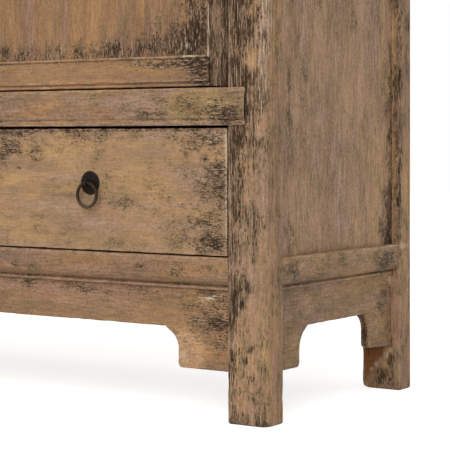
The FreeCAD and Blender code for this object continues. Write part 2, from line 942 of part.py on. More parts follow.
def make_doors():
    """The right-hand door, which turns on pins at its outer edge, and its mirror image."""
    face = front_y + door_recess
    back = face + door_thickness
    outer = half_opening - door_post_gap
    inner = door_centre_gap / 2
    low = middle_rail_top + door_end_gap
    high = top_rail_level - door_end_gap
    hinge_edge = outer - hinge_stile_width
    meeting_edge = inner + meeting_stile_width
    rail_top = low + door_rail_height
    top_rail_low = high - door_rail_height
    axis_x = outer - door_thickness / 2
    axis_y = face + door_thickness / 2

    def plan_corner(x, drop, radius):
        return (x, face + drop, radius)

    def side_corner(z, drop, radius):
        return (face + drop, z, radius)

    hinge_section = [(outer, back, door_thickness / 2), (outer, face, door_thickness / 2)]
    hinge_section += inner_edge_corners(hinge_edge, 1, plan_corner)
    meeting_section = [(inner, back, meeting_stile_arris), (inner, face, meeting_stile_arris)]
    meeting_section += inner_edge_corners(meeting_edge, -1, plan_corner)
    bead = door_edge_bead_radius
    bead_face = face + door_edge_bead_drop
    groove_face = bead_face + door_edge_groove_depth

    def rail_section(edge, inward, inner_edge):
        bead_end = edge + inward * 2 * bead
        groove_end = bead_end + inward * door_edge_groove_width
        corners = [
            (back, edge),
            (bead_face, edge, bead),
            (bead_face, bead_end, bead),
            (groove_face, bead_end),
            (groove_face, groove_end),
            (face, groove_end, bead),
        ]
        return corners + inner_edge_corners(inner_edge, -inward, side_corner)

    hinge_band = hinge_edge + door_mitre_band
    meeting_band = meeting_edge - door_mitre_band

    def stile_outline(edge, band_edge, inner_edge):
        return [
            (edge, low),
            (band_edge, low),
            (band_edge, rail_top - door_mitre_band),
            (inner_edge, rail_top),
            (inner_edge, top_rail_low),
            (band_edge, top_rail_low + door_mitre_band),
            (band_edge, high),
            (edge, high),
        ]

    hinge_stile = prism("plan", low, high, hinge_section)
    hinge_stile = hinge_stile.common(
        prism("front", face, back, stile_outline(outer, hinge_band, hinge_edge))
    )
    meeting_stile = prism("plan", low, high, meeting_section)
    meeting_stile = meeting_stile.common(
        prism("front", face, back, stile_outline(inner, meeting_band, meeting_edge))
    )

    def door_rail(edge, inward, inner_edge):
        rail = prism("side", meeting_band, hinge_band, rail_section(edge, inward, inner_edge))
        mitre_start = inner_edge - inward * door_mitre_band
        outline = [
            (meeting_band, edge),
            (hinge_band, edge),
            (hinge_band, mitre_start),
            (hinge_edge, inner_edge),
            (meeting_edge, inner_edge),
            (meeting_band, mitre_start),
        ]
        rail = rail.common(prism("front", face, back, outline))
        tenon_y = face + (door_thickness - door_tenon_thickness) / 2
        tenon_z = (edge + inward * door_tenon_shoulder, mitre_start)
        tenon = box(
            meeting_band - door_tenon_length,
            hinge_band + door_tenon_length,
            tenon_y,
            tenon_y + door_tenon_thickness,
            min(tenon_z),
            max(tenon_z),
        )
        return joined(rail, tenon)

    bottom_rail = door_rail(low, 1, rail_top)
    top_rail = door_rail(high, -1, top_rail_low)
    panel = box(
        meeting_edge - door_panel_tongue,
        hinge_edge + door_panel_tongue,
        face + door_panel_drop,
        face + door_panel_drop + door_panel_thickness,
        rail_top - door_panel_tongue,
        top_rail_low + door_panel_tongue,
    )
    batten_front = face + door_panel_drop + door_panel_thickness
    battens = []
    for batten_low in (rail_top + batten_end_distance, top_rail_low - batten_end_distance - batten_height):
        battens.append(
            box(
                meeting_edge - batten_tongue,
                hinge_edge + batten_tongue,
                batten_front,
                batten_front + batten_thickness,
                batten_low,
                batten_low + batten_height,
            )
        )
    pull_x = inner + door_pull_from_edge
    plate = pull_plate(pull_x, face, door_pull_level)
    eye = pull_eye(pull_x, face, door_pull_level, door_thickness)
    ring = pull_ring(pull_x, face, door_pull_level)
    bottom_rail = bottom_rail.cut(panel)
    top_rail = top_rail.cut(panel)
    members = [panel, bottom_rail, top_rail] + battens
    lower_pin_length = lower_socket_depth + door_end_gap - pivot_end_clearance
    lower_pin = Part.makeCylinder(pivot_radius, lower_pin_length, vec(axis_x, axis_y, low - lower_pin_length))
    upper_pin = Part.makeCylinder(pivot_radius, door_end_gap + upper_pin_reach, vec(axis_x, axis_y, high))
    hinge_stile = joined(hinge_stile.cut(members), lower_pin, upper_pin)
    meeting_stile = meeting_stile.cut(members + [eye])

    lower_socket = Part.makeCylinder(
        pivot_radius + pivot_clearance,
        lower_socket_depth,
        vec(axis_x, axis_y, middle_rail_top - lower_socket_depth),
    )
    upper_socket = Part.makeCylinder(
        pivot_radius + pivot_clearance,
        upper_socket_depth,
        vec(axis_x, axis_y, top_rail_level),
    )
    sockets = {"front_middle_rail": lower_socket, "front_top_rail": upper_socket}
    for rail_name, socket in sockets.items():
        pieces[rail_name] = pieces[rail_name].cut([socket, mirrored(socket)])
    parts = {
        "hinge_stile": hinge_stile,
        "meeting_stile": meeting_stile,
        "bottom_rail": bottom_rail,
        "top_rail": top_rail,
        "panel": panel,
        "battens": Part.makeCompound(battens),
        "pull_plate": plate,
        "pull_eye": eye,
        "pull_ring": ring,
    }
    for name, shape in parts.items():
        pieces["door_right_" + name] = shape
        pieces["door_left_" + name] = mirrored(shape)


make_carcase()
make_top()
make_drawers()
make_doors()

os.makedirs("parts", exist_ok=True)
for name in sorted(pieces):
    pieces[name].exportStep("parts/" + name + ".step")
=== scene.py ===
# A tall softwood wardrobe in thin worn paint, photographed low from its right-hand corner.
# Lengths in this file are millimetres; they turn into metres when a mesh is made.
import json
import math

import bmesh
import bpy
import numpy as np
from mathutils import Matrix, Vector

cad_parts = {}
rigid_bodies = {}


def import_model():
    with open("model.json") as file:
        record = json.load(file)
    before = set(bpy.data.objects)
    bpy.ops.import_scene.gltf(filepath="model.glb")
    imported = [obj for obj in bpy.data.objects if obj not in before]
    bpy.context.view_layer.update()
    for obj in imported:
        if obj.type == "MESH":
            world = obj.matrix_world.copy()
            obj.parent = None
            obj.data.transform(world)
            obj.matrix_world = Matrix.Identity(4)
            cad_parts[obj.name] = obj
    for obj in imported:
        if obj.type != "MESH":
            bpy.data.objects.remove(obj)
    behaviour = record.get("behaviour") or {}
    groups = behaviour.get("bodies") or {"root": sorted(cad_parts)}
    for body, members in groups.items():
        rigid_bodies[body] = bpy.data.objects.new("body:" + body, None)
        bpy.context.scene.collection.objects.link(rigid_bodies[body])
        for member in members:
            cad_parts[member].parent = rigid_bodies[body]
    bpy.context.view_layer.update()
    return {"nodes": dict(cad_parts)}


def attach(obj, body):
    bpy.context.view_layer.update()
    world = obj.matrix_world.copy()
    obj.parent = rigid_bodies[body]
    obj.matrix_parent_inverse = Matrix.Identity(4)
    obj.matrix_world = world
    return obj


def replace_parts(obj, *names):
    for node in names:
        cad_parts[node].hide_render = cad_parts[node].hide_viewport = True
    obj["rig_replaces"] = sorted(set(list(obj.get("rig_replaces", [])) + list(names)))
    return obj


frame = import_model()
print("frame loaded:", len(frame["nodes"]), "nodes")


def linear(hexColour):
    # a written sRGB colour as the linear RGBA that shaders use
    parts = [int(hexColour[i:i + 2], 16) / 255 for i in (1, 3, 5)]
    return [p / 12.92 if p <= 0.04045 else ((p + 0.055) / 1.055) ** 2.4 for p in parts] + [1.0]


def addNode(tree, kind, inputs=None, **settings):
    # one shader node: its settings, then its inputs, each a plain value or the socket it is linked from;
    # its outputs come back
    node = tree.nodes.new("ShaderNode" + kind)
    for key, value in settings.items():
        setattr(node, key, value)
    for key, value in (inputs or {}).items():
        if isinstance(value, bpy.types.NodeSocket):
            tree.links.new(value, node.inputs[key])
        else:
            node.inputs[key].default_value = value
    return node.outputs


def unevenness(points, cell, seed):
    # smooth value noise from 0 to 1: each corner of a lattice holds a hashed number, and a point blends
    # its eight corners along s-curves; cell is the lattice spacing in mm, one number or one per axis
    scaled = points / np.asarray(cell, float)
    base = np.floor(scaled).astype(np.int64)
    part = scaled - base
    part = part * part * (3 - 2 * part)
    total = np.zeros(points.shape[:-1])
    for corner in np.ndindex(2, 2, 2):
        at = base + np.array(corner)
        mixed = at[..., 0] * 73856093 ^ at[..., 1] * 19349663 ^ at[..., 2] * 83492791 ^ seed * 2654435761
        mixed = (mixed ^ mixed >> 13) * 1274126177 & 0x7FFFFFFF
        value = ((mixed ^ mixed >> 15) & 0xFFFF) / 0xFFFF
        total += value * np.prod(np.where(corner, part, 1 - part), axis=-1)
    return total


# A surface is a grid of points, rows along a path and columns round a profile, with two numbers at each
# point: arris, 1 on an outer edge that hands and feet have rubbed, and hollow, 1 in a groove, which the
# paints darken with dirt and painted shade.

timberLook = {
    "rowStep": 9.0,          # between rows along a length of timber
    "columnStep": 13.0,      # between points across its faces
    "nearEdge": (1.1, 3.2, 7.5),      # points beside each edge
    "arcSteps": 5,
    "handRadius": 3.0,       # edges rounder than this are rubbed less
    "handTurn": 1.2,         # so are those that turn less than this, in radians
    "darkGrooveRadius": 3.0,       # grooves sharper than this are darkened with dirt and painted shade
    "darkGrooveTurn": 1.5,         # and all of it where they turn as far as this
    "arrisFade": 2.8,        # how far rubbing spreads from an edge
    "grooveFade": 1.5,       # how far that darkening reaches round a rounded end
    "chipDepth": 1.1,        # deepest chip in an edge
    "edgeLoss": 0.15,        # what a rubbed edge loses even where it isn't chipped
    "faceDepth": 0.22,       # hand-planed unevenness of a face
    "grainSizes": (5.0, 1.7, 34.0),      # coarse, fine and broad unevenness, across the grain
    "grainSeeds": (0, 7, 13),      # added to a timber's own seed
    "grainStretch": 4,       # along the grain
    "sawnFrom": 0.9,         # rows set in this far lie on the end and stay as it was sawn
}

loopValues = {
    # what a loop keeps for each of its points, and how many numbers that takes
    "points": (2,),
    "normal": (2,),          # outwards
    "arris": (),
    "hollow": (),
    "spot": (2,),            # where its corner would be if it weren't rounded
    "mitre": (2,),           # how that corner moves for each mm of inset
    "gather": (),            # the inset at which the arc has shrunk to a point
    "ahead": (2,),           # along its straight run
    "room": (4,),            # to both corners of the run, and the cotangents of half their angles
}
never = 1e6      # an inset that no outline reaches


def roundedLoop(corners):
    # a closed outline from corners (across, up, radius): each corner is an arc, and the straight runs are
    # sampled closely near their ends; every point also keeps what an inset of the outline needs
    look = timberLook
    corners = [tuple(c) + (0.0,) * (3 - len(c)) for c in corners]
    spots = np.array([c[:2] for c in corners], float)
    following = np.roll(spots, -1, axis=0)
    if np.sum(spots[:, 0] * following[:, 1] - following[:, 0] * spots[:, 1]) < 0:
        corners = corners[::-1]
        spots = spots[::-1]
    bends = []
    for i, corner in enumerate(corners):
        radius = corner[2]
        toBefore = spots[i - 1] - spots[i]
        toAfter = spots[(i + 1) % len(spots)] - spots[i]
        toBefore /= np.linalg.norm(toBefore)
        toAfter /= np.linalg.norm(toAfter)
        convex = toBefore[1] * toAfter[0] - toBefore[0] * toAfter[1] > 0
        sign = 1 if convex else -1
        half = math.acos(np.clip(toBefore @ toAfter, -1, 1)) / 2
        between = toBefore + toAfter
        if np.linalg.norm(between) < 1e-6:
            between = np.array([toAfter[1], -toAfter[0]])      # a point on a straight run
        bisector = between / np.linalg.norm(between) / math.sin(half)
        arc, normal = spots[i:i + 1].copy(), -bisector[None] * sign
        if radius > 0:
            centre = spots[i] + bisector * radius
            first = spots[i] + toBefore * radius / math.tan(half) - centre
            last = spots[i] + toAfter * radius / math.tan(half) - centre
            begin = math.atan2(first[1], first[0])
            sweep = (math.atan2(last[1], last[0]) - begin + math.pi) % (2 * math.pi) - math.pi
            angles = begin + sweep * np.linspace(0, 1, look["arcSteps"] + 1)
            spokes = np.stack([np.cos(angles), np.sin(angles)], 1)
            arc, normal = centre + radius * spokes, spokes * sign
        turned = math.pi - 2 * half
        rubbed = look["handRadius"] / max(radius, look["handRadius"]) * min(1.0, turned / look["handTurn"])
        grooveDark = min(1.0, turned / look["darkGrooveTurn"]) ** 2
        bends.append({
            "arc": arc, "normal": normal, "spot": spots[i], "mitre": bisector * sign,
            "worn": rubbed if convex and radius > 0 else 0.0,
            "groove": grooveDark if not convex and radius < look["darkGrooveRadius"] else 0.0,
            "gather": radius if convex or radius == 0 else never,
            "cot": 1 / math.tan(half) if convex else 0.0,
        })
    rows = []
    for i, bend in enumerate(bends):
        after = bends[(i + 1) % len(bends)]
        rows.append({
            "points": bend["arc"], "normal": bend["normal"], "arris": bend["worn"], "hollow": bend["groove"],
            "spot": bend["spot"], "mitre": bend["mitre"], "gather": bend["gather"], "ahead": 0.0, "room": 0.0,
        })
        run = after["arc"][0] - bend["arc"][-1]
        length = np.linalg.norm(run)
        near = np.array([d for d in look["nearEdge"] if d < length / 2.2])
        inner = near[-1] if len(near) else 0.0
        pieces = int((length - 2 * inner) / look["columnStep"]) + 1
        between = np.linspace(inner, length - inner, pieces + 1)[1:-1]
        along = np.concatenate([near, between, length - near[::-1]])
        if not len(along) or length < 0.5:
            continue
        run /= length
        count, fade = len(along), look["arrisFade"]
        fromHere, fromNext = np.exp(-along / fade), np.exp(-(length - along) / fade)
        toHere = along + np.linalg.norm(bend["arc"][-1] - bend["spot"])
        toNext = length - along + np.linalg.norm(after["arc"][0] - after["spot"])
        rows.append({
            "points": bend["arc"][-1] + run * along[:, None], "normal": (run[1], -run[0]),
            "arris": np.maximum(fromHere * bend["worn"], fromNext * after["worn"]),
            "hollow": np.maximum(fromHere * bend["groove"], fromNext * after["groove"]),
            "spot": 0.0, "mitre": 0.0, "gather": never, "ahead": run,
            "room": np.stack([toHere, toNext, np.full(count, bend["cot"]), np.full(count, after["cot"])], 1),
        })
    return {
        key: np.concatenate([np.broadcast_to(row[key], (len(row["points"]),) + width) for row in rows])
        for key, width in loopValues.items()
    }


def insetLoop(loop, inset):
    # the outline moved inwards by each inset: points move square to it, those too near an outer corner
    # slide back along their run, and a corner tighter than the inset gathers at its mitre
    inset = np.asarray(inset, float)[:, None]
    toHere, toNext, cotHere, cotNext = loop["room"].T
    slide = np.maximum(0, inset * cotHere - toHere) - np.maximum(0, inset * cotNext - toNext)
    moved = loop["points"] - loop["normal"] * inset[..., None] + loop["ahead"] * slide[..., None]
    gathered = loop["spot"] + loop["mitre"] * inset[..., None]
    return np.where((inset >= loop["gather"])[..., None], gathered, moved)


def inPlace(plane, across, up, along):
    # a drawing's points in space: plan is (x, y), front is (x, z) and side is (y, z)
    order = {"plan": (across, up, along), "front": (across, along, up), "side": (along, across, up)}
    return np.stack(order[plane], -1)


jointEnd = ((0.0, 0.7), (0.9, 0.0))      # a sawn end set tight against another timber
looseEnd = ((0.0, 9.0), (0.0, 3.0), (0.0, 1.4), (0.5, 0.4), (1.6, 0.0))      # an end that shows


def timber(plane, corners, low, high, start=jointEnd, finish=jointEnd, wear=1.0, seed=1, step=None):
    # a length of timber: its section's rounded loop is carried from low to high, which may depend on the
    # place in the section, as in a mitre; start and finish give the end rows as (distance in, inset);
    # then edges lose a little wood where noise says they were rubbed, and faces are not quite flat
    look = timberLook
    loop = roundedLoop(corners)
    lows, highs = (
        np.broadcast_to(end(*loop["points"].T) if callable(end) else float(end), len(loop["points"]))
        for end in (low, high)
    )
    length = np.max(highs) - np.min(lows)
    inner, outer = start[-1][0], length - finish[-1][0]
    count = max(1, int((outer - inner) / (step or look["rowStep"])))
    middle = np.linspace(inner, outer, count + 1)[1:-1]
    away = np.concatenate([[r[0] for r in start], middle, [length - r[0] for r in finish[::-1]]])
    inset = np.concatenate([[r[1] for r in start], 0 * middle, [r[1] for r in finish[::-1]]])
    along = lows + (highs - lows) * (away / length)[:, None]
    flat = insetLoop(loop, inset)
    points = inPlace(plane, flat[..., 0], flat[..., 1], along)

    fade = look["arrisFade"]
    fromStart = away if len(start) > 2 else never      # an end set tight isn't rubbed
    fromFinish = length - away if len(finish) > 2 else never
    endReach = np.minimum(fromStart, fromFinish) + inset
    rubbed = loop["arris"][None] * np.exp(-inset / fade)[:, None]
    rubbed = np.maximum(rubbed, np.maximum(np.exp(-endReach / fade) - 0.05, 0)[:, None])
    grain = np.where(inPlace(plane, 0, 0, 1), look["grainStretch"], 1)
    sizes = zip(look["grainSizes"], look["grainSeeds"])
    coarse, fine, broad = (unevenness(points, grain * size, seed + shift) for size, shift in sizes)
    chips = np.clip((coarse * 0.65 + fine * 0.35 - 0.5) * 4, 0, 1) * look["chipDepth"]
    planed = (broad * 0.7 + coarse * 0.3) * look["faceDepth"]
    depth = wear * (rubbed * (chips + look["edgeLoss"]) + planed)
    depth *= (inset < look["sawnFrom"])[:, None]
    flat -= loop["normal"][None] * depth[..., None]
    points = inPlace(plane, flat[..., 0], flat[..., 1], along)
    hollow = loop["hollow"] * np.exp(-inset / look["grooveFade"])[:, None]
    return {"points": points, "arris": rubbed, "hollow": hollow}


def carried(path, radius, columns, wrap=False):
    # a round wire: circles of that radius, one number or one per point, stand square to the path
    ahead = np.roll(path, -1, axis=0) - np.roll(path, 1, axis=0)
    if not wrap:
        ahead[0], ahead[-1] = path[1] - path[0], path[-1] - path[-2]
    ahead /= np.linalg.norm(ahead, axis=1)[:, None]
    side = np.cross(ahead, np.cross(path[1] - path[0], path[len(path) // 3] - path[0]))
    side /= np.linalg.norm(side, axis=1)[:, None]
    over = np.cross(ahead, side)
    turn = np.linspace(0, 2 * math.pi, columns, endpoint=False)[None, :, None]
    reach = np.broadcast_to(radius, len(path))[:, None, None]
    points = path[:, None] + reach * (np.cos(turn) * side[:, None] + np.sin(turn) * over[:, None])
    return {"points": points, "arris": 0 * points[..., 0], "hollow": 0 * points[..., 0], "wrap": wrap}


sharpFrom = math.radians(38)      # edges that turn more than this look sharp


def addObject(name, data):
    made = bpy.data.objects.new(name, data)
    bpy.context.scene.collection.objects.link(made)
    return made


def makePiece(name, surfaces, body, material, stands=()):
    # one mesh from grids: quads between neighbouring rows and columns, and a lid on each open end;
    # a grid whose volume comes out negative is turned round, so that all faces look outwards
    allPoints, allFaces, arris, hollow, offset = [], [], [], [], 0
    for surface in surfaces:
        points = surface["points"]
        rows, columns = points.shape[:2]
        number = np.arange(rows * columns).reshape(rows, columns)
        if surface.get("wrap"):
            number = np.vstack([number, number[:1]])
        here, beside = number[:-1], np.roll(number[:-1], -1, axis=1)
        above, corner = number[1:], np.roll(number[1:], -1, axis=1)
        quads = np.stack([here, beside, corner, above], -1).reshape(-1, 4)
        flat = points.reshape(-1, 3)
        middle = flat.mean(0)
        a, b, c, d = (flat[quads[:, i]] - middle for i in range(4))
        volume = np.sum(np.einsum("ij,ij->i", a, np.cross(b, c)) + np.einsum("ij,ij->i", a, np.cross(c, d)))
        lids = [] if surface.get("wrap") else [number[0][::-1].tolist(), number[-1].tolist()]
        if volume < 0:
            quads = quads[:, ::-1]
            lids = [lid[::-1] for lid in lids]
        allFaces += (quads + offset).tolist() + [[i + offset for i in lid] for lid in lids]
        allPoints.append(flat)
        arris.append(np.ravel(surface["arris"]))
        hollow.append(np.ravel(surface["hollow"]))
        offset += len(flat)
    mesh = bpy.data.meshes.new(name)
    mesh.from_pydata((np.concatenate(allPoints) * 0.001).tolist(), [], allFaces)
    for label, values in (("arris", arris), ("hollow", hollow)):
        layer = mesh.attributes.new(label, "FLOAT", "POINT")
        layer.data.foreach_set("value", np.concatenate(values).astype(np.float32))
    merged = bmesh.new()
    merged.from_mesh(mesh)
    bmesh.ops.remove_doubles(merged, verts=merged.verts, dist=1e-6)
    lids = [face for face in merged.faces if len(face.verts) > 8]      # the others have three or four
    bmesh.ops.triangulate(merged, faces=lids, ngon_method="EAR_CLIP")
    merged.to_mesh(mesh)
    merged.free()
    mesh.polygons.foreach_set("use_smooth", np.ones(len(mesh.polygons), bool))
    mesh.set_sharp_from_angle(angle=sharpFrom)
    mesh.materials.append(material)
    made = addObject(name, mesh)
    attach(made, body)
    if stands:
        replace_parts(made, *stands)


def wornPiece(name, surfaces, paint, body="carcase"):
    # a painted piece, which stands for the CAD piece of the same name
    makePiece("worn_" + name, surfaces, body, paint, [name])


sides = (("right", 1), ("left", -1))


def mirrored(corners, sign=-1):
    # a section that is drawn for the right, on the side that sign gives
    return [(sign * c[0],) + tuple(c[1:]) for c in corners]


def trimmedEnds(low, high, trim):
    # a timber's two ends, each moved in by what trim gives for a place in its section
    return lambda across, up: low + trim(across, up), lambda across, up: high - trim(across, up)


# Noise that the paints share: stretch along the grain, size across it in mm, detail and roughness.
grainNoise = {
    "bands": (9.0, 24.0, 4.0, 0.6),        # bands of colour, as wide as a brush or a growth ring
    "clouds": (2.4, 80.0, 3.0, 0.55),      # broad drifts of tone
    "veils": (8.0, 26.0, 3.0, 0.6),        # bloom and thin dirt
    "streaks": (10.0, 3.2, 4.0, 0.62),     # fine grain
    "chalk": (1.4, 3.4, 3.0, 0.65),        # speckle of a rubbed surface
    "drift": (1.6, 24.0, 5.0, 0.66),       # where old paint gathers
    "blots": (1.5, 8.0, 6.0, 0.74),
    "specks": (1.5, 2.1, 3.0, 0.7),
    "ticks": (5.0, 1.5, 2.0, 0.7),         # hair-like marks, twice as wide as real ones
    "scrapes": (5.0, 1.9, 3.0, 0.7),
}
drawnOutNoise = ("blots", "specks", "scrapes")      # what a paint's drawnOut stretches further
noiseStep = (7.3, 3.1, 5.7)      # each noise lies this much further on than the last, so that none line up

coatAndShadeCover = {
    # how strongly the mask of old paint and painted shade pulls, where cover starts and is full, and its share
    # when full
    "blots": (0.95, 0.66, 1.06, 0.7),
    "specks": (0.34, 0.655, 0.72, 0.9),
    "ticks": (0.42, 0.71, 0.84, 0.85),
}

paintLayers = {
    # where each layer starts and is full along its noise, and its share when full
    "ochre": (0.72, 1.08, 1.0),
    "olive": (0.5, 0.72, 0.7),
    "veil": (0.46, 0.66, 1.0),
    "dense": (0.1, 0.4, 0.16),
    "scrape": (0.7, 0.8, 0.75),
    "edge": (0.7, 0.98, 0.8),
    "chips": (0.34, 0.48, 0.8),
    "bare": (0.36, 0.6, 0.85),
    "grooveDirtAndShade": (1.25, 1.8, 0.45),
}

rubbedOil = {
    "pink": "#99765f",        # last coat, rubbed thin
    "tan": "#8c6a4e",         # wood and size showing through
    "ochre": "#98734f",
    "olive": "#84704d",
    "veil": "#766251",
    "darkCoatAndShade": "#6a5744",       # old dark coat, rubbed; also the colour of painted shade
    "fleckAndShade": "#2c1d0e",       # the same coat left whole in pores; it also speckles painted shade
    "rubbed": "#ae9077",      # edges worn towards pale wood
    "cream": "#c3af95",       # chips down to the ground coat; also the colour of painted highlights
    # grooves: dirt and painted shade
    "dirtAndShade": "#3f3124",
    "bare": "#85522a",
    "density": 0.0,           # how much old coat stays everywhere
    "ochreShare": 0.0,        # tips the bands towards ochre
    "oliveShare": 0.0,
    "veilShare": 0.5,
    "contrast": 1.0,
    "drawnOut": 1.0,          # stretches specks and blots along the grain
    "swing": 0.3,             # how much lighter and darker the grain makes the paint
    "cornerShadeReach": 0.025,     # metres, how far ambient occlusion looks into a corner to paint shade there
    "placed": -0.4,           # keeps pale and bare wood away except where it is placed
    "sheen": 0.1,
}


def emptyTree(owner):
    # the node tree of a material or world, with nothing in it
    owner.use_nodes = True
    owner.node_tree.nodes.clear()
    return owner.node_tree


def patches(tree, point, places, mask):
    # a mask raised by soft ellipsoids: each place is (centre, reach, amount), with x, y, z in mm
    for centre, reach, amount in places:
        inside = {"Vector": point, "Location": centre, "Scale": reach}
        local = addNode(tree, "Mapping", inside, vector_type="TEXTURE")[0]
        ball = addNode(tree, "TexGradient", {"Vector": local}, gradient_type="SPHERICAL")["Fac"]
        mask = addNode(tree, "Math", {0: ball, 1: amount, 2: mask}, operation="MULTIPLY_ADD")[0]
    return mask


def layerShare(tree, layer, value, plus=None, weight=1.0, shift=0.0, scale=1.0):
    # how much of a layer shows: its share rises from where it starts to where it is full along value, to
    # which weight times plus is added; shift starts it sooner and scale changes its full share
    start, full, share = paintLayers[layer]
    if plus is not None:
        value = addNode(tree, "Math", {0: plus, 1: weight, 2: value}, operation="MULTIPLY_ADD")[0]
    rise = {"Value": value, "From Min": start - shift, "From Max": full - shift, "To Max": share * scale}
    return addNode(tree, "MapRange", rise)[0]


def rubbedPaint(name, grain, stainsAndShadows=(), warm=(), pale=(), **changes):
    # brushed oil paint on softwood, rubbed back to a chalky sheen: the eye sees pink and yellow browns banded
    # along the grain, a speckle of dark older paint that thickens into stains, and pale rubbed edges; painted
    # shade darkens corners and grooves, and some placed stains and pale spots are painted shadows and
    # highlights
    look = dict(rubbedOil, **changes)
    material = bpy.data.materials.new(name)
    tree = emptyTree(material)
    where = addNode(tree, "TexCoord")["Object"]
    point = addNode(tree, "VectorMath", {0: where, "Scale": 1000.0}, operation="SCALE")[0]
    apart = addNode(tree, "SeparateXYZ", {0: point})
    right = addNode(tree, "Math", {0: apart[0]}, operation="ABSOLUTE")[0]
    folded = addNode(tree, "CombineXYZ", {0: right, 1: apart[1], 2: apart[2]})[0]
    noise = {}
    for order, (key, (stretch, size, detail, roughness)) in enumerate(grainNoise.items()):
        scale = [1 / size, 1 / size, 1 / size]
        scale["xyz".index(grain)] /= stretch * (look["drawnOut"] if key in drawnOutNoise else 1)
        shifted = {"Vector": point, "Scale": scale, "Location": [order * step for step in noiseStep]}
        local = addNode(tree, "Mapping", shifted)[0]
        texture = {"Vector": local, "Scale": 1.0, "Detail": detail, "Roughness": roughness}
        noise[key] = addNode(tree, "TexNoise", texture)["Fac"]

    # ground: bands and clouds choose pink, tan or ochre; olive and a brown veil lie over them in drifts
    tone = layerShare(tree, "ochre", noise["bands"], noise["clouds"], 0.8, shift=look["ochreShare"])
    colour = addNode(tree, "ValToRGB", {"Fac": tone})[0]
    stops = colour.node.color_ramp.elements
    stops[0].position, stops[0].color = 0.1, linear(look["pink"])
    stops[1].position, stops[1].color = 0.95, linear(look["ochre"])
    stops.new(0.5).color = linear(look["tan"])
    olive = layerShare(tree, "olive", noise["drift"], shift=look["oliveShare"])
    veil = layerShare(tree, "veil", noise["veils"], scale=look["veilShare"])
    swing = look["swing"] * look["contrast"]
    grey = noise["streaks"]
    for key, weight in (("chalk", 1.0), ("clouds", 0.7)):
        grey = addNode(tree, "Math", {0: noise[key], 1: weight, 2: grey}, operation="MULTIPLY_ADD")[0]
    band = {"Value": grey, "From Min": 1.0, "From Max": 1.7, "To Min": 1 - swing, "To Max": 1 + swing}
    grey = addNode(tree, "MapRange", band)[0]

    # old coat: listed stains, some of them painted shadows, and drifts; more of it in corners, found by ambient
    # occlusion, and in grooves, as old paint left there and as painted shade
    arris = addNode(tree, "Attribute", attribute_name="arris")["Fac"]
    hollow = addNode(tree, "Attribute", attribute_name="hollow")["Fac"]
    # painted shade: ambient occlusion darkens the colour in corners
    openness = addNode(tree, "AmbientOcclusion", {"Distance": look["cornerShadeReach"]}, samples=6)["AO"]
    band = {"Value": openness, "From Min": 0.35, "From Max": 0.9, "To Min": 0.2, "To Max": 0.0}
    mask = addNode(tree, "MapRange", band)[0]
    mask = addNode(tree, "Math", {0: mask, 1: look["density"] - 0.8}, operation="ADD")[0]
    for value, weight in ((noise["drift"], 1.6), (hollow, 0.18)):
        mask = addNode(tree, "Math", {0: value, 1: weight, 2: mask}, operation="MULTIPLY_ADD")[0]
    mask = patches(tree, folded, stainsAndShadows, mask)
    cover = {}
    for key, (pull, start, full, share) in coatAndShadeCover.items():
        pulled = addNode(tree, "Math", {0: mask, 1: pull, 2: noise[key]}, operation="MULTIPLY_ADD")[0]
        band = {"Value": pulled, "From Min": start, "From Max": full, "To Max": share}
        cover[key] = addNode(tree, "MapRange", band, interpolation_type="SMOOTHSTEP")[0]

    # pale wear: scrapes through dense stains, broken rubbing on edges, and chips and bare wood where placed;
    # some placed pale spots are painted highlights
    scrape = layerShare(tree, "scrape", noise["scrapes"], layerShare(tree, "dense", mask))
    edge = layerShare(tree, "edge", noise["blots"], noise["scrapes"], 0.6)
    edge = addNode(tree, "Math", {0: edge, 1: arris}, operation="MULTIPLY")[0]
    chips = layerShare(tree, "chips", noise["scrapes"], patches(tree, folded, pale, look["placed"]))
    bare = layerShare(tree, "bare", noise["blots"], patches(tree, point, warm, look["placed"]))
    # grooves are darkened with dirt and painted shade
    grooveDirtAndShade = layerShare(tree, "grooveDirtAndShade", noise["blots"], hollow)

    layers = [
        (olive, "olive"), (veil, "veil"), (bare, "bare"), (cover["blots"], "darkCoatAndShade"), (cover["specks"], "fleckAndShade"),
        (cover["ticks"], "fleckAndShade"), (grooveDirtAndShade, "dirtAndShade"), (scrape, "rubbed"), (edge, "rubbed"), (chips, "cream"),
    ]
    for share, layer in layers:
        over = {0: share, 6: colour, 7: linear(look[layer])}
        colour = addNode(tree, "Mix", over, data_type="RGBA")[2]
    colour = addNode(tree, "VectorMath", {0: colour, "Scale": grey}, operation="SCALE")[0]

    relief = {0: cover["specks"], 1: 0.4, 2: noise["streaks"]}
    relief = addNode(tree, "Math", relief, operation="MULTIPLY_ADD")[0]
    bump = addNode(tree, "Bump", {"Height": relief, "Strength": 0.6, "Distance": 0.0005})[0]
    gloss = addNode(tree, "MapRange", {"Value": cover["blots"], "To Min": 0.62, "To Max": 0.45})[0]
    surface = {"Base Color": colour, "Roughness": gloss, "Normal": bump, "Specular IOR Level": look["sheen"]}
    shader = addNode(tree, "BsdfPrincipled", surface)
    addNode(tree, "OutputMaterial", {"Surface": shader[0]})
    return material
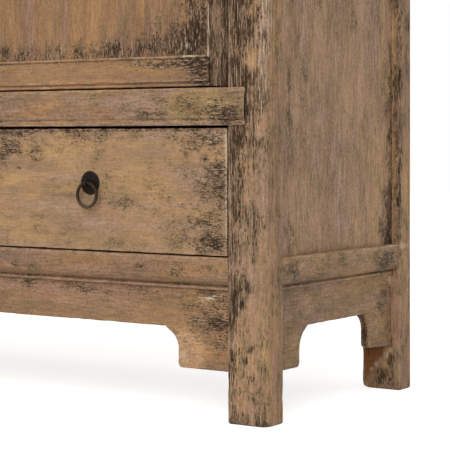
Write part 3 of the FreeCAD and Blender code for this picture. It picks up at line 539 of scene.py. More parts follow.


# Stains and shadows, warm and pale places are (centre, reach, amount), in mm from the middle of the floor
# under the cabinet; stains, shadows and pale places come on both halves alike, bare spots only where they
# are placed. A few stains are painted shadow and a few pale places painted highlights, as marked below.
postPaint = rubbedPaint(
    "rubbedPaintOnPine_posts", "z", density=0.07, drawnOut=4.0, ochreShare=-0.02, oliveShare=0.08,
    pink="#a9866f", tan="#a07d60", ochre="#a7845f", cream="#b79d85", contrast=1.4,
    stainsAndShadows=[
        ((566, -240, 640), (62, 30, 380), 0.7), ((574, -240, 470), (40, 20, 90), 0.3),
        ((562, -240, 440), (26, 20, 300), 0.22), ((562, -240, 300), (26, 20, 300), 0.15),
        ((589, -240, 210), (10, 9, 15), 0.6), ((577, -240, 182), (8, 7, 9), 0.6),
        ((590, -240, 114), (8, 7, 9), 0.55), ((581, -240, 98), (7, 6, 8), 0.5),
        ((612, -240, 600), (16, 30, 240), 0.24), ((620, 186, 500), (14, 10, 420), 0.42),
        ((620, 215, 580), (20, 26, 260), 0.24), ((602, 190, 50), (10, 14, 16), 0.66),
        # the second place on the next line is painted shadow under the side apron, on the rear post's face
        ((588, 190, 20), (30, 14, 20), 0.5), ((570, 190, 84), (44, 14, 22), 0.8),
        ((620, 193, 430), (16, 8, 480), 0.5), ((553, -240, 120), (22, 20, 280), 0.44),
        ((590, -240, 60), (44, 30, 110), 0.24), ((575, -240, 180), (30, 30, 60), 0.2),
        ((600, -240, 300), (22, 30, 80), 0.3), ((604, -240, 420), (20, 30, 60), 0.24),
        ((580, -240, 0), (60, 40, 40), 0.2), ((620, -205, 560), (20, 20, 200), 0.1),
        ((560, -240, 1150), (40, 30, 420), 0.34), ((566, -240, 1750), (50, 30, 260), 0.4),
        ((620, 186, 1300), (14, 14, 600), 0.34), ((590, 0, 1816), (90, 300, 40), 0.16),
    ],
    warm=[
        ((583, -240, 600), (12, 10, 110), 0.3), ((566, 190, 68), (34, 14, 36), 1.0),
        ((553, 192, 38), (16, 16, 42), 0.95),
    ],
    pale=[
        # the first two places are rubbed wear and a painted highlight on the front posts' rounded corners
        ((610, -240, 560), (16, 14, 330), 0.34), ((618, -230, 640), (10, 16, 190), 0.36),
        ((549, -240, 540), (4, 6, 60), 0.4), ((618, -215, 300), (6, 14, 200), 0.14),
        ((600, 190, 69), (8, 12, 8), 0.56), ((591, 190, 60), (9, 12, 9), 0.64),
        ((582, 190, 51), (8, 12, 8), 0.6), ((573, 190, 42), (8, 12, 8), 0.56),
        ((564, 190, 33), (8, 12, 8), 0.5), ((619, 197, 300), (8, 5, 150), 0.36),
        ((620, 205, 248), (16, 24, 10), 0.56),
    ],
)
railPaint = rubbedPaint(
    "rubbedPaintOnPine_rails", "x", density=0.02, veilShare=0.55, tan="#8c6b4d", contrast=1.4,
    stainsAndShadows=[
        ((470, -238, 232), (120, 30, 30), 0.2), ((120, -238, 225), (160, 20, 20), 0.16),
        ((383, -238, 234), (16, 10, 8), 0.5),
    ],
)
middlePaint = rubbedPaint(
    "rubbedPaintOnPine_middleRail", "x", density=0.03, veilShare=0.6, ochreShare=-0.06, oliveShare=0.04,
    pink="#997b67", bare="#93794f", contrast=1.7,
    stainsAndShadows=[
        ((550, -245, 468), (56, 20, 40), 0.68), ((455, -245, 482), (140, 20, 30), 0.2),
        ((520, -245, 500), (90, 20, 18), 0.24), ((97, -245, 463), (110, 14, 12), 0.26),
        ((345, -245, 500), (90, 20, 10), 0.26), ((420, -245, 470), (90, 20, 10), 0.3),
    ],
    warm=[((500, -245, 484), (130, 20, 50), 0.8), ((330, -245, 462), (160, 20, 12), 0.5)],
    pale=[
        ((586, -240, 462), (8, 12, 10), 0.4), ((584, -240, 503), (7, 12, 7), 0.4),
        ((530, -245, 486), (60, 12, 26), 0.22),
    ],
)
drawerPaint = rubbedPaint(
    "rubbedPaintOnPine_drawers", "x", density=-0.02, veilShare=0.45, ochreShare=0.03, oliveShare=0.03,
    pink="#a4856e", tan="#9c7c5f", ochre="#a6835d",
    stainsAndShadows=[
        ((112, -238, 420), (90, 10, 56), 0.56), ((250, -238, 424), (90, 10, 26), 0.34),
        ((262, -238, 438), (50, 10, 16), 0.34), ((130, -238, 384), (9, 8, 7), 0.5),
        ((174, -238, 368), (9, 8, 7), 0.5), ((169, -238, 289), (9, 8, 7), 0.5),
        ((545, -238, 350), (110, 20, 170), 0.34), ((534, -238, 385), (20, 10, 50), 0.26),
        ((500, -238, 436), (70, 14, 20), 0.3), ((507, -238, 402), (12, 10, 12), 0.4),
        ((520, -238, 268), (50, 10, 22), 0.3), ((440, -238, 440), (150, 20, 36), 0.26),
        ((430, -238, 330), (180, 20, 150), 0.16), ((330, -238, 392), (60, 14, 26), 0.2),
        # the second place on the next line and the one after it are painted shadow under the middle rail, along
        # the drawer's top edge
        ((490, -238, 276), (70, 12, 30), 0.16), ((130, -236, 450), (280, 14, 11), 1.2),
        ((400, -236, 450), (240, 14, 8), 1.0),
    ],
    pale=[
        # the second place on the next line and the one after it are a painted highlight along the drawer's
        # outer edge
        ((524, -238, 432), (46, 10, 26), 0.26), ((546, -238, 400), (4, 8, 90), 0.44),
        ((546, -238, 300), (4, 8, 80), 0.4),
    ],
)
doorRailPaint = rubbedPaint(
    "rubbedPaintOnPine_doorRails", "x", veilShare=0.4, ochreShare=0.1,
    stainsAndShadows=[
        ((498, -238, 530), (52, 20, 48), 0.9), ((400, -238, 549), (170, 12, 11), 0.4),
        ((470, -238, 549), (70, 14, 18), 0.3), ((340, -236, 560), (330, 20, 8), 0.26),
        ((200, -238, 545), (160, 14, 10), 0.16),
    ],
    pale=[
        ((479, -236, 562), (34, 10, 6), 0.4), ((420, -236, 556), (60, 10, 4), 0.26),
        ((470, -236, 553), (30, 12, 14), 0.24),
    ],
)
panelPaint = rubbedPaint(
    "rubbedPaintOnPine_doorPanels", "z", density=-0.02, drawnOut=1.5, ochreShare=0.06, contrast=1.35,
    stainsAndShadows=[
        ((498, -233, 612), (74, 20, 150), 0.66), ((440, -233, 590), (120, 20, 42), 0.42),
        ((330, -233, 576), (140, 20, 26), 0.24), ((130, -233, 574), (90, 20, 22), 0.2),
        ((100, -233, 580), (18, 14, 24), 0.3), ((479, -233, 630), (16, 14, 90), 0.24),
        ((300, -233, 568), (420, 20, 36), 0.34), ((508, -233, 1150), (40, 20, 560), 0.4),
        ((300, -233, 1706), (320, 20, 60), 0.36), ((68, -233, 1090), (44, 20, 460), 0.36),
        ((500, -233, 1700), (90, 20, 130), 0.4), ((80, -233, 560), (40, 20, 90), 0.26),
    ],
    pale=[((500, -233, 610), (60, 20, 120), 0.12), ((468, -233, 574), (26, 14, 22), 0.22)],
)
stilePaint = rubbedPaint(
    "rubbedPaintOnPine_doorStiles", "z", density=0.26, drawnOut=3.4, veilShare=0.95, pink="#8b6f5c",
    tan="#7e614a", ochre="#8c6b4c",
    stainsAndShadows=[
        ((536, -238, 560), (34, 20, 360), 0.26), ((516, -238, 600), (7, 10, 600), 0.36),
        ((541, -238, 600), (6, 10, 600), 0.3), ((546, -238, 640), (6, 10, 10), 0.6),
        ((30, -238, 1090), (50, 30, 190), 0.3),
    ],
    pale=[
        ((512, -236, 600), (3, 10, 260), 0.42), ((528, -238, 540), (3, 10, 60), 0.3),
        ((510, -238, 536), (4, 10, 34), 0.56), ((547, -238, 520), (4, 10, 12), 0.4),
    ],
)
apronPaint = rubbedPaint(
    "rubbedPaintOnPine_frontApron", "x", density=-0.02, drawnOut=2.0, veilShare=0.4, ochreShare=0.04,
    pink="#9c7962", tan="#916f52", bare="#bd9670", contrast=1.5,
    stainsAndShadows=[
        ((250, -222, 192), (300, 10, 18), 0.4), ((510, -222, 160), (70, 12, 70), 0.6),
        ((530, -222, 112), (26, 12, 50), 0.34), ((260, -222, 187), (34, 10, 8), 0.3),
    ],
    warm=[((466, -222, 100), (50, 14, 62), 0.9), ((500, -222, 176), (40, 14, 30), 0.4)],
    pale=[((505, -222, 186), (34, 10, 12), 0.4), ((456, -222, 94), (22, 14, 24), 0.4)],
)
sidePaint = rubbedPaint(
    "rubbedPaintOnPine_sideRails", "y", density=0.03, oliveShare=0.12, pink="#aa8a73",
    tan="#a07e63", ochre="#a8845c", contrast=1.5,
    stainsAndShadows=[
        ((616, 120, 222), (30, 70, 28), 0.34), ((602, 170, 150), (20, 60, 80), 0.34),
        ((616, -165, 228), (20, 50, 34), 0.42), ((616, 160, 226), (20, 60, 30), 0.4),
        ((616, -20, 232), (20, 60, 20), 0.24), ((616, -110, 212), (20, 60, 14), 0.3),
        # the two places on the next line are stain on the rear lobe's sawn edge, darkened further as painted
        # shade
        ((592, 101, 132), (9, 16, 18), 1.1), ((592, 113, 102), (9, 9, 40), 1.1),
        ((616, 0, 246), (10, 200, 10), 0.16),
    ],
    # bare wood on that sawn edge, under the stain and painted shade
    warm=[((592, 101, 132), (9, 16, 18), 1.0), ((592, 113, 102), (9, 9, 40), 1.0)],
    pale=[
        ((602, 188, 190), (16, 20, 12), 0.56), ((614, 172, 250), (8, 30, 6), 0.4),
        ((616, -90, 251), (8, 120, 6), 0.32), ((616, 90, 251), (8, 120, 6), 0.32),
    ],
)
sidePanelPaint = rubbedPaint(
    "rubbedPaintOnPine_sidePanels", "z", density=-0.04, oliveShare=0.05, pink="#ae8f78",
    tan="#a6856b", ochre="#a9896a", veil="#8c725c", contrast=1.6,
    stainsAndShadows=[
        ((604, -150, 480), (20, 10, 150), 0.46), ((604, -150, 276), (20, 30, 36), 0.42),
        ((604, 189, 470), (20, 30, 330), 0.5), ((604, 176, 288), (20, 60, 90), 0.66),
        ((604, -60, 640), (20, 20, 110), 0.3), ((604, 60, 640), (20, 34, 80), 0.26),
        ((604, -110, 500), (20, 30, 120), 0.2), ((604, 150, 480), (20, 40, 200), 0.16),
    ],
    warm=[((604, -90, 560), (20, 26, 110), 0.2)],
)
bareWood = rubbedPaint(
    "agedBarePine", "x", density=-0.25, veilShare=0.2, ochreShare=0.1, pink="#9b7b58", tan="#8f6c47",
    ochre="#a0794a",
)


def wroughtIron(name, dark, brown, handled, metallic):
    # forged iron under old wax: brown-black scale, lighter and smoother where hands rub it; the eye sees a
    # soft broad highlight broken by hammer marks; noise scales are marks per metre
    material = bpy.data.materials.new(name)
    tree = emptyTree(material)
    where = addNode(tree, "TexCoord")["Object"]
    rough = {"Vector": where, "Scale": 420.0, "Detail": 4.0, "Roughness": 0.7}
    scale = addNode(tree, "TexNoise", rough)["Fac"]
    marks = addNode(tree, "TexNoise", {"Vector": where, "Scale": 190.0, "Detail": 1.0})["Fac"]
    arris = addNode(tree, "Attribute", attribute_name="arris")["Fac"]
    rust = addNode(tree, "MapRange", {"Value": scale, "From Min": 0.4, "From Max": 0.62})[0]
    worn = addNode(tree, "Math", {0: scale, 1: arris}, operation="MULTIPLY")[0]
    band = {"Value": worn, "From Min": 0.1, "From Max": 0.55, "To Max": 0.9}
    worn = addNode(tree, "MapRange", band)[0]
    colour = addNode(tree, "Mix", {0: rust, 6: linear(dark), 7: linear(brown)}, data_type="RGBA")[2]
    colour = addNode(tree, "Mix", {0: worn, 6: colour, 7: linear(handled)}, data_type="RGBA")[2]
    gloss = addNode(tree, "MapRange", {"Value": worn, "To Min": 0.56, "To Max": 0.38})[0]
    bump = addNode(tree, "Bump", {"Height": marks, "Strength": 0.5, "Distance": 0.0006})[0]
    surface = {"Base Color": colour, "Roughness": gloss, "Metallic": metallic, "Normal": bump}
    shader = addNode(tree, "BsdfPrincipled", {**surface, "Specular IOR Level": 0.08})
    addNode(tree, "OutputMaterial", {"Surface": shader[0]})
    return material


plateIron = wroughtIron("wroughtIronUnderWax_plates", "#120d0a", "#21170f", "#3a2b21", 0.0)
ringIron = wroughtIron("wroughtIronUnderWax_rings", "#1a120c", "#33261c", "#5a4738", 0.15)
print("finishes made")

posts = {
    "halfWidth": 620.0,
    "halfDepth": 240.0,
    "frontWidth": 71.0,
    "rearWidth": 74.5,
    "depth": 50.0,
    "top": 1816.0,
    "cornerRadius": 16.0,
    "innerRadii": (4.0, 3.5, 5.0),      # of the other corners: inner front, inner back and outer back
    "frontReed": 23.6,       # from the outer side to the reed in the front face
    "sideReed": 18.6,        # from the front to the reed in the side face
    "reedWidth": 4.6,
    "reedDepth": 1.3,
    "reedRadii": (1.6, 1.2),      # of its edges and its floor
    "wornFootRadius": 14.0,      # the rear right foot's inner corner, worn round
    "wear": 1.2,
}
foot = ((0.0, 12.0), (0.0, 6.0), (0.0, 4.2), (0.4, 3.0), (1.6, 1.5), (3.2, 0.0))
wornFoot = foot + ((5.5, 0.0), (8.0, 0.0), (11.0, 0.0), (15.0, 0.0))


def postSection(width, inward):
    # a post's plan on the right of the cabinet; inward is 1 for a front post and -1 for a rear one
    outerX, outerY = posts["halfWidth"], -inward * posts["halfDepth"]
    innerX, innerY = outerX - width, outerY + inward * posts["depth"]
    reedX, reedY = outerX - posts["frontReed"], outerY + inward * posts["sideReed"]
    half, deep = posts["reedWidth"] / 2, posts["reedDepth"]
    lip, bed = posts["reedRadii"]
    innerFront, innerBack, outerBack = posts["innerRadii"]
    return [
        (innerX, outerY, innerFront),
        (reedX - half, outerY, lip), (reedX, outerY + inward * deep, bed), (reedX + half, outerY, lip),
        (outerX, outerY, posts["cornerRadius"]),
        (outerX, reedY - inward * half, lip), (outerX - deep, reedY, bed), (outerX, reedY + inward * half, lip),
        (outerX, innerY, outerBack), (innerX, innerY, innerBack),
    ]


def wearCorner(points, innerX, radius):
    # points beyond the quarter circle that touches the inner side and the floor move straight in onto it
    reach = points[..., ::2] - (innerX + radius, radius)
    distance = np.linalg.norm(np.minimum(reach, 0), axis=-1, keepdims=True)
    points[..., ::2] += np.where(reach < 0, reach * (radius / np.maximum(distance, radius) - 1), 0)


for place, inward, width, seed in (("front", 1, posts["frontWidth"], 14), ("rear", -1, posts["rearWidth"], 4)):
    for side, sign in sides:
        name = "post_" + place + "_" + side
        worn = name == "post_rear_right"
        made = timber(
            "plan", mirrored(postSection(width, inward), sign), 0.0, posts["top"],
            start=wornFoot if worn else foot, wear=posts["wear"], seed=seed - sign,
        )
        if worn:
            wearCorner(made["points"], posts["halfWidth"] - width, posts["wornFootRadius"])
        wornPiece(name, [made], postPaint)
print("posts made")

rails = {
    "faceBehindPosts": 2.0,
    "sideFaceBehindPosts": 4.0,
    "thickness": 40.0,
    "arris": 3.0,
    "bottom": (200.0, 251.5),
    "middle": (452.5, 511.0),
    "top": (1756.0, 1816.0),
    "mouldingSetBack": 10.0,
    "beadRadius": 3.0,
    "quirk": 2.0,
    "middleProud": 5.0,
    "middleCrown": 3.5,
    "crownRadius": 60.0,
    "middleArrises": (1.5, 2.0),      # lower and upper
    "middleReed": 9.0,       # from its lower edge
    "reedShape": ((-2.6, -0.9, 1.4), (0.0, 0.5, 1.0), (2.6, -1.9, 1.4)),      # up, in and radius
    "lapLength": 32.6,
    "lapHousing": 6.0,
    "lapCorner": 2.0,
    "lapWear": 1.3,
}


def mouldedSection(face, inward, low, high):
    # rounded top edge, flat face, ovolo, then a bead along the lower edge
    radius = rails["beadRadius"]
    beadAt = face + inward * rails["mouldingSetBack"]
    beadTop = low + 2 * radius
    quirkAt = beadAt + inward * radius
    quirkTop = beadTop + rails["quirk"]
    rear = face + inward * rails["thickness"]
    return [
        (rear, low), (beadAt, low, radius), (beadAt, beadTop, radius), (quirkAt, beadTop), (quirkAt, quirkTop),
        (face, quirkTop, rails["mouldingSetBack"] + radius), (face, high, rails["arris"]), (rear, high),
    ]


def plainSection(face, inward, low, high):
    rear = face + inward * rails["thickness"]
    return [(rear, low), (face, low, rails["arris"]), (face, high, rails["arris"]), (rear, high)]


railSections = {"bottom": mouldedSection, "top": plainSection}
frontOpening = posts["halfWidth"] - posts["frontWidth"]
frontFace = -posts["halfDepth"] + rails["faceBehindPosts"]
sideFace = posts["halfWidth"] - rails["sideFaceBehindPosts"]
sideReach = posts["halfDepth"] - posts["depth"]

for level, seed in (("bottom", 31), ("top", 33)):
    section = railSections[level](frontFace, 1, *rails[level])
    made = timber("side", section, -frontOpening, frontOpening, seed=seed)
    wornPiece("front_" + level + "_rail", [made], railPaint)

# the middle rail is two slices of one timber: the front one laps over the posts and the rear one stops
# between them
low, high = rails["middle"]
middleFace = -posts["halfDepth"] - rails["middleProud"]
edgeFace = middleFace + rails["middleCrown"]
lapBack = -posts["halfDepth"] + rails["lapHousing"]
middleBack = middleFace + rails["thickness"]
lapReach = frontOpening + rails["lapLength"]
crown = [
    (lapBack, low), (edgeFace, low, rails["middleArrises"][0]),
    *((edgeFace + deep, low + rails["middleReed"] + up, radius) for up, deep, radius in rails["reedShape"]),
    (middleFace, (low + high) / 2, rails["crownRadius"]), (edgeFace, high, rails["middleArrises"][1]),
    (lapBack, high),
]


def lapTrim(across, up):
    # the lap's lower and upper corners are cut back
    return np.maximum(0, rails["lapCorner"] - np.minimum(up - low, high - up))


lapEnds = trimmedEnds(-lapReach, lapReach, lapTrim)
frontSlice = timber("side", crown, *lapEnds, start=looseEnd, finish=looseEnd, wear=rails["lapWear"], seed=35)
square = [(lapBack, low), (middleBack, low), (middleBack, high), (lapBack, high)]
rearSlice = timber("side", square, -frontOpening, frontOpening, wear=0.0)
wornPiece("front_middle_rail", [frontSlice, rearSlice], middlePaint)

for side, sign in sides:
    for level, makeSection in railSections.items():
        section = mirrored(makeSection(sideFace, -1, *rails[level]), sign)
        made = timber("front", section, -sideReach, sideReach, seed=41 + sign)
        wornPiece("side_" + level + "_rail_" + side, [made], sidePaint)

aprons = {
    "setBack": 18.0,
    "thickness": 18.0,
    "edge": 138.5,
    "lobe": 75.5,
    "frontLobe": 104.0,
    "sideLobe": 76.0,
    "frontCurve": (26.0, 18.2, 34.0),      # the lobe's upper curve: width, drop and radius
    "rearCurve": (20.0, 15.0, 27.0),
    "cornerRadius": 8.0,
    "rearWear": 4.5,
    "housing": 6.0,
}
facing = ((0.0, 6.5), (0.0, 3.6), (0.0, 1.9), (0.35, 0.8), (1.6, 0.0))      # rounded edges round a sawn outline
sawn = {"start": facing, "finish": facing, "wear": 1.4, "step": 6.0}


def halfOutline(opening, lobeInner, curve, wear=0.0):
    # half an apron, from the arch's edge round the lobe and up the end that is housed in the post
    width, drop, radius = curve
    end = opening + aprons["housing"]
    return [
        (lobeInner - width, aprons["edge"]), (lobeInner, aprons["edge"] - drop, radius),
        (lobeInner, aprons["lobe"] + wear, aprons["cornerRadius"]), (end, aprons["lobe"]),
        (end, rails["bottom"][0] + aprons["housing"]),
    ]


frontHalf = halfOutline(frontOpening, frontOpening - aprons["frontLobe"], aprons["frontCurve"])
face = -posts["halfDepth"] + aprons["setBack"]
outline = frontHalf + mirrored(frontHalf)[::-1]
made = timber("front", outline, face, face + aprons["thickness"], seed=51, **sawn)
wornPiece("front_apron", [made], apronPaint)

lobeInner = sideReach - aprons["sideLobe"]
nearHalf = halfOutline(sideReach, lobeInner, aprons["frontCurve"])
rearHalf = halfOutline(sideReach, lobeInner, aprons["rearCurve"], aprons["rearWear"])
outline = rearHalf + mirrored(nearHalf)[::-1]
outerFace = posts["halfWidth"] - aprons["setBack"]
for side, sign in sides:
    faces = sorted((sign * outerFace, sign * (outerFace - aprons["thickness"])))
    made = timber("side", outline, *faces, seed=53 + sign, **sawn)
    wornPiece("side_apron_" + side, [made], sidePaint)

sidePanels = {"setBack": 12.0, "thickness": 12.0, "tongue": 8.0, "wear": 2.5}
boardStep = 14.0      # between rows along a flat board
outerFace = sideFace - sidePanels["setBack"]
innerFace = outerFace - sidePanels["thickness"]
reach = sideReach + sidePanels["tongue"]
section = [(outerFace, -reach), (outerFace, reach), (innerFace, reach), (innerFace, -reach)]
low, high = rails["bottom"][1] - sidePanels["tongue"], rails["top"][0] + sidePanels["tongue"]
for side, sign in sides:
    made = timber("plan", mirrored(section, sign), low, high, wear=sidePanels["wear"], seed=61, step=boardStep)
    wornPiece("side_panel_" + side, [made], sidePanelPaint)
print("rails, aprons and side panels made")

top = {
    "overhang": 30.0,
    "low": 1816.0,
    "high": 1850.0,
    "frameWidth": 84.0,
    "edgeHeight": 16.0,
    "edgeSetIn": 18.0,
    "edgeRadius": 4.0,
    "underRadius": 2.0,
    "innerArris": 0.8,
    "panelDrop": 2.0,
    "panelThickness": 12.0,
    "panelGap": 1.0,
    "panelWear": 2.0,
}
topLength = posts["halfWidth"] + top["overhang"]
topDepth = posts["halfDepth"] + top["overhang"]


def topMember(plane, outer, inward, reach, seed):
    # one side of the top's frame, mitred at both ends
    inner = outer + inward * top["frameWidth"]
    section = [
        (inner, top["low"]), (outer + inward * top["edgeSetIn"], top["low"], top["underRadius"]),
        (outer, top["high"] - top["edgeHeight"], top["edgeRadius"]), (outer, top["high"], top["edgeRadius"]),
        (inner, top["high"], top["innerArris"]),
    ]
    return timber(plane, section, *trimmedEnds(-reach, reach, lambda a, u: (a - outer) * inward), seed=seed)


wornPiece("top_frame_front", [topMember("side", -topDepth, 1, topLength, 71)], railPaint)
wornPiece("top_frame_rear", [topMember("side", topDepth, -1, topLength, 71)], railPaint)
topEnds = [topMember("front", topLength, -1, topDepth, 73), topMember("front", -topLength, 1, topDepth, 73)]
wornPiece("top_frame_ends", topEnds, sidePaint)
panelX, panelY = (reach - top["frameWidth"] - top["panelGap"] for reach in (topLength, topDepth))
high = top["high"] - top["panelDrop"]
low = high - top["panelThickness"]
board = [(-panelY, low), (panelY, low), (panelY, high, top["innerArris"]), (-panelY, high, top["innerArris"])]
made = timber("side", board, -panelX, panelX, wear=top["panelWear"], seed=75, step=boardStep)
wornPiece("top_panel", [made], railPaint)
print("top made")

pulls = {
    "plateRadius": 19.0,
    "plateDome": 3.5,
    "plateRim": 0.8,
    "sheet": 1.2,
    "plateHole": 3.2,
    "plateSteps": 9,         # points from the hole to the rim
    "plateTurns": 72,        # points round it
    "rimBevel": 0.15,
    "rimFrom": 6.0,          # the rim wanders more and more from here outwards
    "rimWander": 0.9,
    "rimCell": 6.0,          # size of its noise
    "hammerDepth": 0.7,
    "hammerCell": 3.6,
    "eyeReach": 9.0,
    "eyeWire": 1.4,
    "eyeHole": 3.3,
    "clench": 12.0,
    "clenchBend": ((0.0, 5.0), (0.5, 2.6), (2.5, 1.5)),      # forward of the clenched end, and out
    "legsApart": 1.45,       # from the middle of the pin
    "neck": 3.0,
    "ringOuter": 22.0,
    "ringWire": 2.65,
    "ringTurns": 96,
    "ringCell": 7.0,
    "outOfRound": 0.012,
    "thinnest": 0.955,       # of the wire's radius
    "thicker": 0.09,
    "places": {"door": (27.5, 1090.0, 26.0), "drawer": (283.5, 361.65, 22.0)},      # across, up, timber behind
}


def domedPlate(x, faceY, z, seed):
    # a profile from the hole over the dome to the rim and back under it, turned about the pull's axis;
    # noise lowers the dome in shallow hammer marks and moves the rim in and out
    rim, sheet, rimFrom = pulls["plateRadius"], pulls["sheet"], pulls["rimFrom"]
    across = np.linspace(pulls["plateHole"], rim, pulls["plateSteps"])
    dome = pulls["plateDome"] - (pulls["plateDome"] - pulls["plateRim"]) * (across / rim) ** 2
    back = across[::-1][1:] - np.linspace(sheet, 0, pulls["plateSteps"] - 1)
    radius = np.concatenate([across, [rim - pulls["rimBevel"]], back])
    height = np.maximum(np.concatenate([dome, [0.0], np.interp(back, across, dome) - sheet]), 0.0)
    turn = np.linspace(0, 2 * math.pi, pulls["plateTurns"], endpoint=False)[:, None]
    grid = np.stack([np.cos(turn) * radius, np.sin(turn) * radius, 0 * turn + height], -1)
    marks = unevenness(grid + seed, pulls["hammerCell"], seed) - 0.5
    wander = unevenness(grid * [1, 1, 0] + seed, pulls["rimCell"], seed + 3) - 0.5
    outer = np.clip((radius - rimFrom) / (rim - rimFrom), 0, 1)
    grid[..., 2] += marks * pulls["hammerDepth"] * np.clip(grid[..., 2], 0, 1)
    scale = 1 + wander * pulls["rimWander"] * outer / rim
    points = np.stack([x + grid[..., 0] * scale, faceY - grid[..., 2], z + grid[..., 1] * scale], -1)
    arris, hollow = (np.broadcast_to(value, points.shape[:2]) for value in (outer ** 6, 1 - outer))
    return {"points": points, "arris": arris, "hollow": hollow, "wrap": True}


def splitPin(x, faceY, z, thickness):
    # a bent wire: in from behind, round the eye's loop in front, and back, with its ends clenched up and down
    wire, apart = pulls["eyeWire"], pulls["legsApart"]
    loop = pulls["eyeHole"] + wire
    turn = np.radians(np.linspace(20, 340, 29))
    eye = np.stack([faceY - pulls["eyeReach"] + loop * np.cos(turn), loop * np.sin(turn)], 1)
    behind = faceY + thickness + wire
    half = [(behind, pulls["clench"])] + [(behind - forward, out) for forward, out in pulls["clenchBend"]]
    half = np.array(half + [(faceY, apart), (faceY - pulls["neck"], apart)])
    line = np.concatenate([half, eye, half[::-1] * [1, -1]])
    path = np.stack([np.full(len(line), x), line[:, 0], z + line[:, 1]], 1)
    return carried(path, wire, 12)


def hammeredRing(x, faceY, z, seed):
    # a closed ring whose wire thickens and thins by a few hundredths and hangs slightly out of round; its
    # lower part, which fingers hold, is rubbed most
    middle = pulls["ringOuter"] - pulls["ringWire"]
    turn = np.linspace(0, 2 * math.pi, pulls["ringTurns"], endpoint=False)
    spread = middle * (1 + pulls["outOfRound"] * np.cos(2 * turn + seed) * np.sin(turn / 2) ** 2)
    ahead = np.full_like(turn, faceY - pulls["eyeReach"])
    path = np.stack([x + spread * np.sin(turn), ahead, z - middle + spread * np.cos(turn)], 1)
    uneven = unevenness(path, pulls["ringCell"], seed)
    wire = pulls["ringWire"] * (pulls["thinnest"] + pulls["thicker"] * uneven)
    ring = carried(path, wire, 20, wrap=True)
    ring["arris"] = ring["arris"] + 0.35 + 0.65 * (0.5 - 0.5 * np.cos(turn))[:, None] ** 3
    return ring


for kind, (across, z, thickness) in pulls["places"].items():
    for side, sign in sides:
        name = kind + "_" + side
        place = (sign * across, frontFace, z)
        seed = len(name) * 3 + sign
        plate, eye, ring = domedPlate(*place, seed), splitPin(*place, thickness), hammeredRing(*place, seed)
        makePiece("domed_" + name + "_plate", [plate], name, plateIron, [name + "_pull_plate"])
        makePiece("bent_" + name + "_eye", [eye], name, ringIron, [name + "_pull_eye"])
        makePiece("forged_" + name + "_ring", [ring], name + "_ring", ringIron, [name + "_pull_ring"])
print("pulls made")

drawers = {
    "from": 20.0,
    "to": 547.0,
    "low": 253.5,
    "high": 449.0,
    "thickness": 22.0,
    "arris": 1.6,
    "tailLength": 12.0,
    "tailClear": 0.62,       # how far the front's end is cut back where the side's dovetails lap it
    "shoulder": 0.02,        # how thick that step is
}
low, high, arris = drawers["low"], drawers["high"], drawers["arris"]
drawerInner = frontFace + drawers["thickness"]
tailFrom = drawerInner - drawers["tailLength"]
tailAt = tailFrom + drawers["shoulder"]
drawerEdge = ((0.0, 8.0), (0.0, 3.0), (0.0, 1.6), (0.35, 0.7), (1.5, 0.0))
fitted = {"start": drawerEdge, "finish": drawerEdge, "wear": 1.1}
section = [
    (frontFace, low, arris), (frontFace, high, arris), (tailFrom, high), (tailAt, high),
    (drawerInner, high), (drawerInner, low), (tailAt, low), (tailFrom, low),
]


def tailTrim(across, up):
    return np.where(across > tailFrom + drawers["shoulder"] / 2, drawers["tailClear"], 0.0)


for side, sign in sides:
    ends = trimmedEnds(*sorted((sign * drawers["from"], sign * drawers["to"])), tailTrim)
    made = timber("side", section, *ends, seed=81 + sign, **fitted)
    wornPiece("drawer_" + side + "_front", [made], drawerPaint, "drawer_" + side)
print("drawer fronts made")

doors = {
    "from": 1.5,
    "to": 545.5,
    "low": 513.0,
    "high": 1754.0,
    "thickness": 26.0,
    "hingeStile": 38.0,
    "hingeRadius": 12.9,
    "meetingStile": 68.0,
    "meetingRadius": 2.0,
    "railHeight": 49.0,
    "mitreBand": 5.5,
    "slopeWidth": 16.0,
    "slopeDrop": 4.5,
    "slopeRadius": 12.0,
    "slopeFoot": 0.4,
    "beadWidth": 5.0,
    "beadRadius": 2.4,
    "beadDrop": 2.0,
    "edgeBead": 2.25,
    "edgeBeadDrop": 1.0,
    "edgeGroove": 2.4,
    "panelDrop": 5.0,
    "panelThickness": 10.0,
    "panelTongue": 7.0,
    "panelWear": 2.5,
    "pinInset": 13.0,
    "pinRadius": 6.0,
    "pinTurns": 24,
    "pinSpans": ((497.3, 514.0), (1753.0, 1768.0)),
}


def innerMoulding(edge, outward):
    # places along a member's width and drops behind its face: the crest, the slope down, and the bead
    beadFrom = edge + outward * doors["beadWidth"]
    slopeFrom = beadFrom + outward * doors["slopeWidth"]
    drop, radius = doors["beadDrop"], doors["beadRadius"]
    return [
        (slopeFrom, 0.0, doors["slopeRadius"]), (beadFrom, doors["slopeDrop"], doors["slopeFoot"]),
        (beadFrom, drop, radius), (edge, drop, radius), (edge, doors["thickness"], 0.0),
    ]


band = doors["mitreBand"]
bandDrop = doors["slopeDrop"] * (1 - (band - doors["beadWidth"]) / doors["slopeWidth"])
hingeEdge = doors["to"] - doors["hingeStile"]
meetingEdge = doors["from"] + doors["meetingStile"]
hingeBand, meetingBand = hingeEdge + band, meetingEdge - band
railTop, topRailLow = doors["low"] + doors["railHeight"], doors["high"] - doors["railHeight"]


